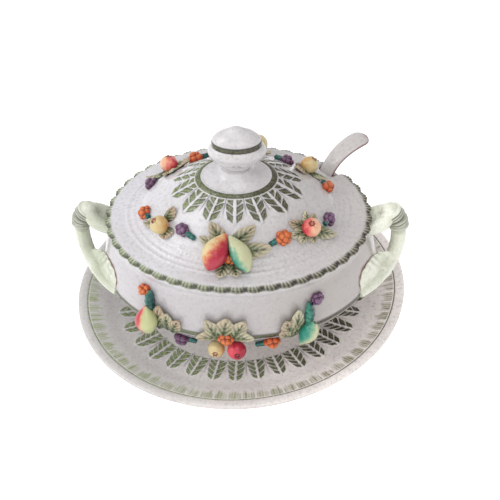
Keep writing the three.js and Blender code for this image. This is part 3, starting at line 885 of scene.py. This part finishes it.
def twig(start, end, radius=2.9):
    """A short stub of stem lying just above Z = 0, with a cut end."""
    start, end = np.array([*start, radius * 0.7]), np.array([*end, radius * 0.55])
    along = unit(end - start)
    up = np.array([0.0, 0.0, 1.0])
    side = np.cross(along, up)
    share, turn = np.meshgrid(np.linspace(0, 1, 16), np.arange(20) * TAU / 20, indexing="ij")
    thick = radius * (1 + 0.18 * share + 0.12 * np.sin(6 * share)) * np.clip((1 - share) * 12, 0.55, 1)
    path = start + share[..., None] * (end - start)
    rings = path + side * (thick * np.cos(turn))[..., None] + up * (thick * np.sin(turn))[..., None]
    quads, caps = ring_faces(16, 20)
    points = np.vstack([rings.reshape(-1, 3), start, end])
    return outward(Form(points, quads, caps, {"stem": np.ones(len(points))}))


def berries(width, seed, stub=None):
    """A cluster of round berries, and a stub of its stem where stub gives the stem's two ends."""
    rng = np.random.default_rng(seed)
    small = width * 0.215
    turns = np.arange(6) * TAU / 6 + rng.uniform(-0.2, 0.2, 6)
    spread = width * 0.30 * rng.uniform(0.88, 1.12, 6)
    centres = [(*place, small * 0.75) for place in np.c_[spread * np.cos(turns), spread * np.sin(turns)]]
    for i in range(3):
        turn = TAU * i / 3 + rng.uniform(0, 0.8)
        centres.append((width * 0.15 * math.cos(turn), width * 0.15 * math.sin(turn), small * 1.75))
    sizes = small * rng.uniform(0.92, 1.18, len(centres))
    balls = [ball(centre, size, 20) for centre, size in zip(centres, sizes)]
    stems = [twig(*stub)] if stub else []
    form = fused(joined([*balls, *stems]), 0.42, 1)
    gaps = np.stack([np.linalg.norm(form.points - centre, axis=1) - size
                     for centre, size in zip(np.array(centres), sizes)])
    order = np.sort(gaps, axis=0)
    nearest = np.argmin(gaps, axis=0)
    height = (form.points[:, 2] - np.array(centres)[nearest, 2]) / sizes[nearest]
    # Painted shade between the berries, fading up their sides, and each berry's height for the painted light
    # on top
    form.layers = {
        "stem": form.layers.get("stem", np.zeros(len(form.points))) * (order[0] > 0.35),
        "hollow": ridge(order[1] - order[0], 0, 1.1) * (1 - 0.35 * smoothstep(0, 1, height)),
        "tone": rng.uniform(0, 1, len(centres))[nearest],
        "tip": smoothstep(-0.6, 1.0, height),
    }
    return form


def pod(length, width, seed):
    """A slender pod along +Y with a low keel and swelling seeds."""
    half, wide = length / 2, width / 2
    curve = outline(
        ([(0, -half), (wide * 0.35, -half * 0.9), (wide * 0.8, -half * 0.5), (wide, -half * 0.05),
          (wide * 0.85, half * 0.45), (wide * 0.4, half * 0.85), (0, half)], 0.6),
    )

    def decorate(bearing, radius, level, arc):
        keel = 0.5 * ridge(np.cos(bearing + math.pi / 2), 1, 0.06)
        seeds = 0.35 * np.cos(TAU * level / 6.5) * (radius / wide)
        # Painted shade between the seeds; side sets the painted light and shade on the flanks
        return (keel + seeds) * np.sqrt(np.clip(radius / wide, 0, 1)), {
            "side": 0.5 + 0.5 * radius * np.cos(bearing) / wide,
            "tip": (level + half) / length,
            "hollow": smoothstep(0.2, -0.35, np.cos(TAU * level / 6.5)) * 0.4,
        }

    form = turned(curve, 1.0, 36, decorate).moved(LIE_DOWN)
    form.points[:, 0] += 0.09 * length * ((form.points[:, 1] / half) ** 2 - 0.5) * (1 if seed % 2 else -1)
    form.points[:, 2] += width * 0.33
    return form


def leaf(x0, y0, length, width, turn, seed, lift=0.15):
    """A broad, deeply veined leaf: its stalk is at (x0, y0) and its tip is turned from +Y."""
    rng = np.random.default_rng(seed)
    rows, columns = 50, 33
    share, across = np.meshgrid(np.linspace(0, 1, rows), np.linspace(-1, 1, columns), indexing="ij")
    notch = 0.96 + 0.09 * np.abs(np.sin(math.pi * 4.5 * share + 0.6))
    shape = np.sin(math.pi * np.clip(share, 0, 1) ** 0.8) ** 0.58 * notch
    half = 0.56 * width * np.maximum(shape, np.where(share < 0.5, 0.35, 0.06))
    x = across * half + 0.05 * length * rng.uniform(-1, 1) * share ** 2
    y = length * share - 1.5
    veins = np.cos(TAU * (4.5 * share - 1.5 * np.abs(across)))
    rib = ridge(across, 0, 0.12)
    fold = np.abs(across) ** 1.5
    arch = 3.4 + lift * length * share ** 1.7 + rng.uniform(0.2, 0.7) * np.sin(3 * across + seed)
    top = arch - 2.4 * fold * (1 - 0.3 * share) - 0.95 * rib + 0.65 * veins * (1 - np.abs(across) ** 4)
    thick = 2.6 * (1 - 0.45 * np.abs(across) ** 2)
    bottom = np.minimum(top - thick, arch - 2.8)
    furrow = smoothstep(0.15, -0.9, veins) * (1 - 0.7 * share ** 1.5) * (1 - 0.35 * np.abs(across))
    # Painted shade, darkest by the stalk
    base_shade = 0.75 * smoothstep(0.42, 0.05, share)
    blade = slab(np.stack([x, y, top], axis=-1), np.stack([x * 0.97, y, bottom], axis=-1), {
        "tip": share,
        "edge": np.abs(across),
        "vein": np.clip(0.95 * rib * (1 - 0.5 * share) + 0.85 * furrow + base_shade, 0, 1),
        "tone": rng.uniform(0, 1),
    })
    return blade.moved(shifted(x0, y0, 0) @ turn_about_z(math.radians(turn)))


def leaves(blades, seed):
    """A spray of leaves as one body. Each blade is its stalk's x and y, its length, width and turn."""
    return fused(joined([leaf(*blade, seed + i) for i, blade in enumerate(blades)]), 0.45, 1)


# ---- sprigs on their hosts ----

BOWL_HOST = Oval(BELLY_CURVE, BOWL_SHORTNESS)
LID_HOST = Oval(DOME_CURVE, LID_SHORTNESS)


def tangent_frame(host, bearing, level):
    """The matrix of a place on a host: X runs round it, Y up its slope and Z out of it."""
    angle, arc = math.radians(bearing), host.arc_at_level(level)
    around = unit(host.points(angle + 0.01, arc) - host.points(angle - 0.01, arc))
    out = host.normals(angle, arc)
    matrix = np.eye(4)
    matrix[:3, 0], matrix[:3, 1], matrix[:3, 2] = around, np.cross(out, around), out
    matrix[:3, 3] = host.points(angle, arc)
    return matrix


def laid_on(host, form, bearing, level):
    """Bends a flat form over its host: X round it, Y up its slope and Z out of it."""
    angle, arc = math.radians(bearing), host.arc_at_level(level)
    x, y, z = form.points.T
    arcs = arc + y
    bearings = angle + x / host.stride(angle, arcs)
    form.points = host.points(bearings, arcs, z)
    return form


def place_fruit(host, form, bearing, level, turn=0):
    return form.moved(tangent_frame(host, bearing, level) @ turn_about_z(math.radians(turn)))


# ---- materials ----

def colour(code):
    """A linear colour from an sRGB hex code."""
    values = [int(code[i:i + 2], 16) / 255 for i in (0, 2, 4)]
    return tuple(v / 12.92 if v <= 0.04045 else ((v + 0.055) / 1.055) ** 2.4 for v in values)


class Finish:
    """One material's node tree, built up in layers."""

    def __init__(self, name):
        self.material = bpy.data.materials.new(name)
        self.material.use_nodes = True
        self.tree = self.material.node_tree
        self.shader = self.tree.nodes["Principled BSDF"]
        self.place = self.tree.nodes.new("ShaderNodeTexCoord").outputs["Object"]

    def node(self, kind, inputs=None, **settings):
        node = self.tree.nodes.new(kind)
        for name, value in settings.items():
            setattr(node, name, value)
        for name, value in (inputs or {}).items():
            self.feed(node.inputs[name], value)
        return node

    def feed(self, socket, value):
        if isinstance(value, bpy.types.NodeSocket):
            self.tree.links.new(value, socket)
        elif isinstance(value, tuple):
            socket.default_value = (*value, 1) if len(socket.default_value) == 4 else value
        else:
            socket.default_value = value

    def layer(self, name):
        return self.node("ShaderNodeAttribute", attribute_name=name).outputs["Fac"]

    def sum(self, first, second, operation="ADD", clamp=True):
        inputs = {0: first, 1: second}
        return self.node("ShaderNodeMath", inputs, operation=operation, use_clamp=clamp).outputs[0]

    def times(self, first, second):
        return self.sum(first, second, "MULTIPLY", False)

    def noise(self, scale, detail=3.0, rough=0.55, stretch=(1, 1, 1)):
        """Noise from 0 to 1 whose features are about 1 / scale metres."""
        place = self.node("ShaderNodeMapping", {"Vector": self.place, "Scale": stretch}).outputs[0]
        inputs = {"Vector": place, "Scale": scale, "Detail": detail, "Roughness": rough}
        return self.node("ShaderNodeTexNoise", inputs).outputs["Fac"]

    def spread(self, value, low, high, start=0.0, end=1.0):
        inputs = {"Value": value, "From Min": low, "From Max": high, "To Min": start, "To Max": end}
        return self.node("ShaderNodeMapRange", inputs, interpolation_type="SMOOTHSTEP").outputs[0]

    def mix(self, amount, first, second, blend="MIX"):
        node = self.node("ShaderNodeMix", data_type="RGBA", blend_type=blend)
        self.feed(node.inputs[0], amount)
        self.feed(node.inputs[6], first)
        self.feed(node.inputs[7], second)
        return node.outputs[2]

    def crackle(self, scale, width):
        """Fine crazing lines in a glaze, 1 on a line."""
        bend = self.node("ShaderNodeTexNoise", {"Vector": self.place, "Scale": scale * 0.7, "Detail": 2.0})
        shift = self.node(
            "ShaderNodeVectorMath", {0: bend.outputs["Color"], 1: (0.004,) * 3}, operation="MULTIPLY")
        place = self.node("ShaderNodeVectorMath", {0: self.place, 1: shift.outputs[0]}, operation="ADD")
        cells = self.node(
            "ShaderNodeTexVoronoi", {"Vector": place.outputs[0], "Scale": scale}, feature="DISTANCE_TO_EDGE")
        return self.spread(cells.outputs["Distance"], 0.0, width, 1.0, 0.0)

    def glazed(self, base, lines, roughness=0.14, lift=0.00012):
        """Sets the shader's colour, gloss and fine relief, and gives the finished material."""
        ripple = self.noise(140, 2.0)
        grain = self.noise(900, 2.0)
        height = self.sum(self.times(ripple, 0.8), self.times(grain, 0.15), clamp=False)
        height = self.sum(height, self.times(lines, 0.35), "SUBTRACT", False)
        bump = self.node("ShaderNodeBump", {"Height": height, "Distance": lift, "Strength": 0.6})
        rough = self.sum(self.spread(self.noise(60), 0.3, 0.7, roughness, roughness + 0.1),
                         self.times(lines, 0.15))
        self.feed(self.shader.inputs["Base Color"], base)
        self.feed(self.shader.inputs["Roughness"], rough)
        self.feed(self.shader.inputs["Normal"], bump.outputs[0])
        self.feed(self.shader.inputs["Specular IOR Level"], 0.35)
        self.feed(self.shader.inputs["Coat Weight"], 0.4)
        self.feed(self.shader.inputs["Coat Roughness"], 0.1)
        return self.material


# For painted light and shade: X from lit left to shaded right, and where plate meets bowl and bowl meets lid
LIT_LEFT_TO_SHADED_RIGHT = (-0.17, 0.17)
PLATE_TO_BOWL = (0.026, 0.034)
BOWL_TO_LID = (0.125, 0.15)
# X plus a third of Z, over which the paint turns from lit to painted shade
PAINT_LIT_TO_SHADED = (-0.05, 0.12)


def cream_glaze():
    """White glaze, crazed and a little stained, with the green painted leaf work and bands on it. Light and
    shade are painted into it: the glaze and paint darken to the right, the bowl is darker than the lid,
    and the plate is lighter, most of all on its right.
    """
    f = Finish("cream_glaze")
    place = f.node("ShaderNodeSeparateXYZ", {0: f.place}).outputs
    # Painted shade: darker on the shaded right than on the lit left, and darker on the bowl than on the lid
    side = f.spread(place["X"], *LIT_LEFT_TO_SHADED_RIGHT)
    low = f.spread(place["Z"], *PLATE_TO_BOWL, 1, 0)
    high = f.spread(place["Z"], *BOWL_TO_LID)
    bowl, lid = (colour("bdbbc0"), colour("aea7a2")), (colour("d8d8de"), colour("c6c2c0"))
    base = f.mix(side, *(f.mix(high, below, above) for below, above in zip(bowl, lid)))
    # Painted light: the plate is lighter than the bowl, most of all on its shaded right side
    base = f.mix(low, base, f.mix(side, colour("cccac8"), colour("fff8f4")))
    base = f.mix(f.times(f.spread(f.noise(14), 0.3, 0.7), 0.3), base, colour("b8b4b5"))
    base = f.mix(f.times(f.spread(f.noise(260, 5.0), 0.45, 0.8), 0.45), base, colour("9b9593"))
    lines = f.crackle(230, 0.05)
    base = f.mix(f.times(lines, 0.28), base, colour("7d7771"))
    # Painted shade on the paint: its wash, body and dark marks darken to the right and upwards
    right = f.spread(f.sum(place["X"], f.times(place["Z"], 0.33), clamp=False), *PAINT_LIT_TO_SHADED)
    wash_amount = f.times(f.spread(f.layer("wash"), 0.02, 0.8), f.spread(f.noise(300), 0.2, 0.8, 0.6, 1.0))
    base = f.mix(wash_amount, base, f.mix(right, colour("929e6d"), colour("7a744b")))
    patchy = f.spread(f.noise(420, 4.0), 0.3, 0.7)
    lit_paint = f.mix(patchy, colour("5a6838"), colour("97a775"))
    shaded_paint = f.mix(patchy, colour("24230f"), colour("55552f"))
    thin = f.spread(f.noise(500, 3.0), 0.15, 0.6, 0.72, 1.0)
    base = f.mix(f.times(f.spread(f.layer("green"), 0.1, 0.75), thin), base, f.mix(right, lit_paint, shaded_paint))
    # Painted shade in creases, cusps and gaps, with the dark painted lines
    base = f.mix(f.times(f.layer("hollow"), 0.85), base, f.mix(right, colour("2f3421"), colour("120f08")))
    base = f.mix(f.layer("brown"), base, colour("6e3a36"))
    return f.glazed(base, lines)


def celadon_glaze():
    """Pale grey-green glaze, darker in the grooves with painted shade and dark paint, and reddish on the thin
    edges. Painted light makes it lighter on the shaded right side than on the lit left.
    """
    f = Finish("celadon_glaze")
    # Painted light and shade: lighter on the shaded right side and darker on the lit left
    side = f.spread(f.node("ShaderNodeSeparateXYZ", {0: f.place}).outputs["X"], *LIT_LEFT_TO_SHADED_RIGHT)
    patchy = f.spread(f.noise(35), 0.3, 0.7)
    left = f.mix(patchy, colour("bcc2ae"), colour("d2d6c8"))
    base = f.mix(side, left, f.mix(patchy, colour("d6dac6"), colour("eaecde")))
    base = f.mix(f.times(f.spread(f.noise(300, 5.0), 0.45, 0.8), 0.4), base, colour("a6ac8c"))
    lines = f.crackle(230, 0.05)
    base = f.mix(f.times(lines, 0.22), base, colour("85886d"))
    base = f.mix(f.times(f.layer("hollow"), 0.9), base, colour("30341f"))
    base = f.mix(f.layer("brown"), base, colour("6f3d2d"))
    return f.glazed(base, lines)


def leaf_glaze():
    """Green by the stalk and buff at the tip, with dark veins and painted shade by the stalk."""
    f = Finish("leaf_glaze")
    patchy = f.noise(240, 4.0)
    edge = f.sum(f.times(f.layer("edge"), 0.45), f.layer("tip"), clamp=False)
    edge = f.sum(edge, f.times(patchy, 0.6), clamp=False)
    pale = f.mix(f.layer("tone"), colour("b9b49a"), colour("b39d84"))
    green = f.mix(f.spread(patchy, 0.3, 0.7), colour("59643f"), colour("929b76"))
    base = f.mix(f.spread(edge, 0.75, 1.35), green, pale)
    veins = f.times(f.layer("vein"), f.spread(patchy, 0.2, 0.7, 0.7, 1.0))
    base = f.mix(f.times(veins, 0.95), base, colour("23281a"))
    return f.glazed(base, f.crackle(260, 0.04), 0.22)


def berry_glaze(name, pale, main, dark):
    """Berries with painted light on their tops and painted shade between them, on a teal stem."""
    f = Finish(name)
    patchy = f.noise(700, 3.0)
    base = f.mix(f.spread(f.sum(f.layer("tip"), f.times(patchy, 0.5), clamp=False), 0.8, 1.5), main, pale)
    base = f.mix(f.times(f.layer("tone"), 0.4), base, main)
    base = f.mix(f.times(f.spread(f.layer("hollow"), 0.25, 0.95), 0.8), base, dark)
    stem = f.mix(f.spread(f.noise(400), 0.35, 0.65), colour("0a2a2c"), colour("176a60"))
    base = f.mix(f.spread(f.layer("stem"), 0.3, 0.6), base, stem)
    return f.glazed(base, f.crackle(400, 0.03), 0.2)


def fruit_glaze(name, main, between, blush, eye, blend):
    """A fruit in its main colour, which turns to its blush where blend(finish) says, and a dark eye."""
    f = Finish(name)
    patchy = f.sum(f.times(f.sum(f.noise(180, 3.0), 0.5, "SUBTRACT", False), 0.9), blend(f), clamp=False)
    base = f.mix(f.spread(patchy, 0.05, 0.5), main, between)
    base = f.mix(f.spread(patchy, 0.35, 0.8), base, blush)
    base = f.mix(f.times(f.spread(f.noise(900, 3.0), 0.5, 0.75), 0.25), base, eye)
    base = f.mix(f.spread(f.layer("eye"), 0.25, 0.85), base, eye)
    return f.glazed(base, f.crackle(420, 0.03), 0.14)


def across_and_along(side, tip, start):
    """Blush that grows to one side, by side from the middle to the flank, and by tip towards the tip."""
    def blend(f):
        amount = f.sum(f.times(f.layer("side"), 2 * side), f.times(f.layer("tip"), tip), clamp=False)
        return f.sum(amount, start - side, clamp=False)
    return blend


def pod_glaze():
    """Green on one flank and deep teal on the other, as painted light and shade, with painted shade between
    the seeds.
    """
    f = Finish("teal_glaze")
    patchy = f.noise(260, 3.0)
    # Painted light on one flank and painted shade on the other
    shade = f.sum(f.times(f.layer("side"), 0.5), f.times(patchy, 0.9), clamp=False)
    base = f.mix(f.spread(shade, 0.1, 0.9), colour("45a88a"), colour("0b4a48"))
    base = f.mix(f.times(f.layer("hollow"), 0.6), base, colour("062c30"))
    return f.glazed(base, f.crackle(420, 0.03), 0.16)


FINISHES = {
    "cream": cream_glaze(),
    "celadon": celadon_glaze(),
    "leaf": leaf_glaze(),
    "orange": berry_glaze("orange_glaze", colour("dd8446"), colour("b84912"), colour("5c1c05")),
    "purple": berry_glaze("purple_glaze", colour("8c6c90"), colour("552b4d"), colour("170715")),
    "teal": pod_glaze(),
    "pear_red": fruit_glaze(
        "red_pear_glaze", colour("d2c291"), colour("cb7a52"), colour("aa2038"), colour("6c1420"),
        across_and_along(0.75, -0.45, 0.8)),
    "pear_lime": fruit_glaze(
        "lime_pear_glaze", colour("bdbf98"), colour("74a588"), colour("0f7d6b"), colour("15534a"),
        across_and_along(-0.8, -0.3, 0.24)),
    "apple_yellow": fruit_glaze(
        "yellow_apple_glaze", colour("cbb888"), colour("c9a266"), colour("bd7838"), colour("7a2c1c"),
        across_and_along(0.4, -0.4, 0.35)),
    "apple_red": fruit_glaze(
        "red_apple_glaze", colour("e3b491"), colour("dc7a68"), colour("c23644"), colour("6b1d1c"),
        across_and_along(-0.5, -0.3, 0.6)),
    "fruit_red": fruit_glaze(
        "red_fruit_glaze", colour("d8505a"), colour("c52a44"), colour("a5182e"), colour("4f0a13"),
        across_and_along(0.4, 0.4, 0.2)),
    "peach": fruit_glaze(
        "peach_glaze", colour("b9bf8c"), colour("cd9c7c"), colour("b9404c"), colour("9c3440"),
        across_and_along(-1.3, 0.0, 0.45)),
}


# ---- putting it together ----

def show(node, mesh, finish):
    """Puts a mesh in the place of a CAD node of the same name, on the node's own body."""
    body = next(b for b, nodes in frame["record"]["behaviour"]["bodies"].items() if node in nodes)
    shown = bpy.data.objects.new(f"{node}_fine", mesh)
    bpy.context.scene.collection.objects.link(shown)
    mesh.materials.clear()
    mesh.materials.append(FINISHES[finish])
    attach(shown, body)
    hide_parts(node)
    return shown


def show_form(node, form, finish):
    return show(node, to_mesh(node, form), finish)


def show_both(name, form, finish):
    """A sprig on the front, and the same one on the back, half a turn on."""
    show_form(f"front_{name}", form, finish)
    show_form(f"back_{name}", form.moved(turn_about_z(math.pi)), finish)


show_form("underplate", underplate_form(), "cream")
show_form("tureen_bowl", tureen_bowl_form(), "cream")
show("lid", lid_mesh(), "cream")
show_form("lid_knob", lid_knob_form(), "cream")
show_form("ladle", ladle_form(), "cream")
handle = handle_form()
show_form("right_handle", handle, "celadon")
show_form("left_handle", mirrored(handle), "celadon")

# Fruit: name, finish, bearing, level, turn and form
FRUIT = {
    "lid": (LID_HOST, [
        ("pear_red", "pear_red", 260, 165.8, -20, pear(42, 26, 1.5)),
        ("pear_green", "pear_lime", 273.5, 165.2, 27, pear(43, 21, -1.0)),
        ("berries_orange_centre", "orange", 267.5, 161, 0, berries(14, 11)),
        ("berries_orange_end", "orange", 195, 164, 0, berries(15, 12, ((2, 0), (10, 3)))),
        ("berries_purple", "purple", 232, 172.8, 0, berries(15, 13, ((4, -1), (17, -3)))),
        ("berries_orange", "orange", 302.5, 169.5, 0, berries(17, 14, ((-5, 0), (-17, -2)))),
        ("berries_purple_end", "purple", 341, 162.5, 0, berries(15, 15, ((-2, 0), (-10, 1)))),
    ]),
    "bowl": (BOWL_HOST, [
        ("peach", "peach", 234.7, 89.5, 6, pear(38, 24, 0.8, 0.8)),
        ("pear_green", "pear_lime", 298, 80.5, 157, pear(40, 19, 1.0, 0.0, -1)),
        ("pod_teal_left", "teal", 234.6, 111, 6, pod(30, 11, 1)),
        ("pod_teal_right", "teal", 299.5, 102, -7, pod(36, 10.5, 2)),
        ("berries_orange_centre", "orange", 266.5, 81, 0, berries(17, 21)),
        ("berries_orange_end", "orange", 230.3, 120.5, 0, berries(15, 22)),
        ("grapes_purple", "purple", 246.6, 60, 0, berries(18, 23, ((5, -1), (17, -2)))),
        ("berries_orange", "orange", 284.5, 68.5, 0, berries(17, 24, ((-5, -2), (-18, -6)))),
        ("grapes_purple_end", "purple", 304.3, 117.5, 0, berries(15, 25)),
    ]),
}
# Apples: name, finish, bearing, level, radius and the eye's direction
APPLES = {
    "lid": (LID_HOST, [
        ("apple_yellow", "apple_yellow", 217, 168, 10, (-0.54, -0.12, 0.83)),
        ("apple_red", "apple_red", 322, 167.5, 10, (-0.01, -0.30, 0.95)),
    ]),
    "bowl": (BOWL_HOST, [
        ("fruit_yellow", "apple_yellow", 262, 61, 9.6, (-0.06, -0.96, 0.26)),
        ("fruit_red", "fruit_red", 270.4, 64, 10.4, (0.10, -0.96, 0.26)),
    ]),
}
# Leaf sprays: name, bearing, level and each leaf's stalk x and y, length, width and turn
FOLIAGE = {
    "lid": (LID_HOST, [
        ("apple_yellow_leaves", 216.5, 169.5, [
            (-3, 5, 20, 12, 7), (-6, -3, 20, 12, 133), (5, -1, 16, 14, -141)]),
        ("centre_foliage", 266.5, 167, [
            (-6, 7, 29, 15, 31), (-6, -2, 29, 15, 64), (5, 8, 30, 16, -45), (8, -1, 37, 17, -94),
            (-3, -14, 28, 14, 171), (5, -14, 26, 14, -163)]),
        ("apple_red_leaves", 323, 167.5, [
            (2, 4, 18, 9, -30), (4, 2, 16, 9, -62), (-2, 4, 20, 12, 36), (-4, 1, 21, 12, 89),
            (-5, -1, 18, 11, 118), (-1, -5, 15, 10, 147), (3, -4, 28, 14, -147)]),
    ]),
    "bowl": (BOWL_HOST, [
        ("leaves_left", 240, 74, [(-5, -2, 43, 15, -3), (7, 4, 28, 13, 4), (11, 0, 29, 13, -18)]),
        ("centre_foliage", 266.5, 76, [
            (-5, 7, 28, 15, 94), (-8, 3, 34, 16, 24), (-4, 3, 37, 19, -9), (7, 5, 33, 16, -26),
            (5, 7, 26, 15, -88)]),
        ("leaves_right", 294, 75, [(-1, 1, 42, 14, -7), (-4, -2, 33, 17, 13), (-4, -2, 22, 12, 48)]),
    ]),
}
for host_name, (host, sprigs) in FRUIT.items():
    for name, finish, bearing, level, turn, form in sprigs:
        show_both(f"{host_name}_{name}", place_fruit(host, form, bearing, level, turn), finish)
for host_name, (host, apples) in APPLES.items():
    for name, finish, bearing, level, radius, eye in apples:
        show_both(f"{host_name}_{name}", place_apple(host, radius, eye, bearing, level), finish)
for host_name, (host, sprays) in FOLIAGE.items():
    for number, (name, bearing, level, blades) in enumerate(sprays):
        spray = laid_on(host, leaves(blades, 40 + 10 * number), bearing, level)
        show_both(f"{host_name}_{name}", spray, "leaf")


# ---- stage, light and camera ----

def studio():
    floor_mesh = bpy.data.meshes.new("floor")
    reach = 6.0
    corners = [(-reach, -reach, 0), (reach, -reach, 0), (reach, reach, 0), (-reach, reach, 0)]
    floor_mesh.from_pydata(corners, [], [(0, 1, 2, 3)])
    floor = bpy.data.objects.new("floor", floor_mesh)
    bpy.context.scene.collection.objects.link(floor)
    pale = Finish("floor_paint")
    tint = pale.mix(pale.noise(3), colour("fdfdfd"), colour("f9f9f9"))
    pale.feed(pale.shader.inputs["Base Color"], tint)
    pale.feed(pale.shader.inputs["Emission Color"], tint)
    pale.feed(pale.shader.inputs["Emission Strength"], 0.35)
    pale.feed(pale.shader.inputs["Roughness"], 0.9)
    floor_mesh.materials.append(pale.material)
    world = bpy.data.worlds.new("studio")
    bpy.context.scene.world = world
    world.use_nodes = True
    nodes, links = world.node_tree.nodes, world.node_tree.links
    background = nodes["Background"]
    background.inputs["Color"].default_value = (1.0, 0.985, 0.985, 1)
    split = nodes.new("ShaderNodeSeparateXYZ")
    fade = nodes.new("ShaderNodeMapRange")
    links.new(nodes.new("ShaderNodeTexCoord").outputs["Generated"], split.inputs[0])
    links.new(split.outputs["X"], fade.inputs["Value"])
    for name, value in {"From Min": -1, "From Max": 1, "To Min": 1.0, "To Max": 0.55}.items():
        fade.inputs[name].default_value = value
    links.new(fade.outputs[0], background.inputs["Strength"])
    soft_light("key", (-1.3, -0.5, 1.2), 1.0, 8)
    soft_light("front", (0.2, -1.6, 1.1), 1.2, 5)
    soft_light("top", (0.1, -0.4, 1.7), 0.9, 4)


def soft_light(name, place, width, power):
    """A square area light that looks at the tureen's middle."""
    lamp = bpy.data.lights.new(name, "AREA")
    lamp.size = width
    lamp.energy = power
    light = bpy.data.objects.new(name, lamp)
    light.location = place
    light.rotation_euler = (Vector((0, 0, 0.1)) - Vector(place)).to_track_quat("-Z", "Y").to_euler()
    bpy.context.scene.collection.objects.link(light)


def camera():
    """Stands over the front, a little to the right, and looks down at the tureen."""
    azimuth, elevation, roll = math.radians(4.23), math.radians(48.43), math.radians(-2.70)
    distance, target = 0.8401, Vector((0, 0, 0.08))
    level_reach = math.cos(elevation)
    back = Vector((math.sin(azimuth) * level_reach, -math.cos(azimuth) * level_reach, math.sin(elevation)))
    lens = bpy.data.cameras.new("camera")
    lens.lens = 51.41
    lens.shift_x = 0.0205
    lens.shift_y = 0.0041
    eye = bpy.data.objects.new("camera", lens)
    level_view = Matrix.Rotation(azimuth, 3, "Z") @ Matrix.Rotation(math.pi / 2 - elevation, 3, "X")
    eye.matrix_world = Matrix.Translation(target + back * distance) @ (
        level_view @ Matrix.Rotation(roll, 3, "Z")).to_4x4()
    bpy.context.scene.collection.objects.link(eye)
    bpy.context.scene.camera = eye


studio()
camera()
bpy.context.scene.view_settings.view_transform = "Standard"
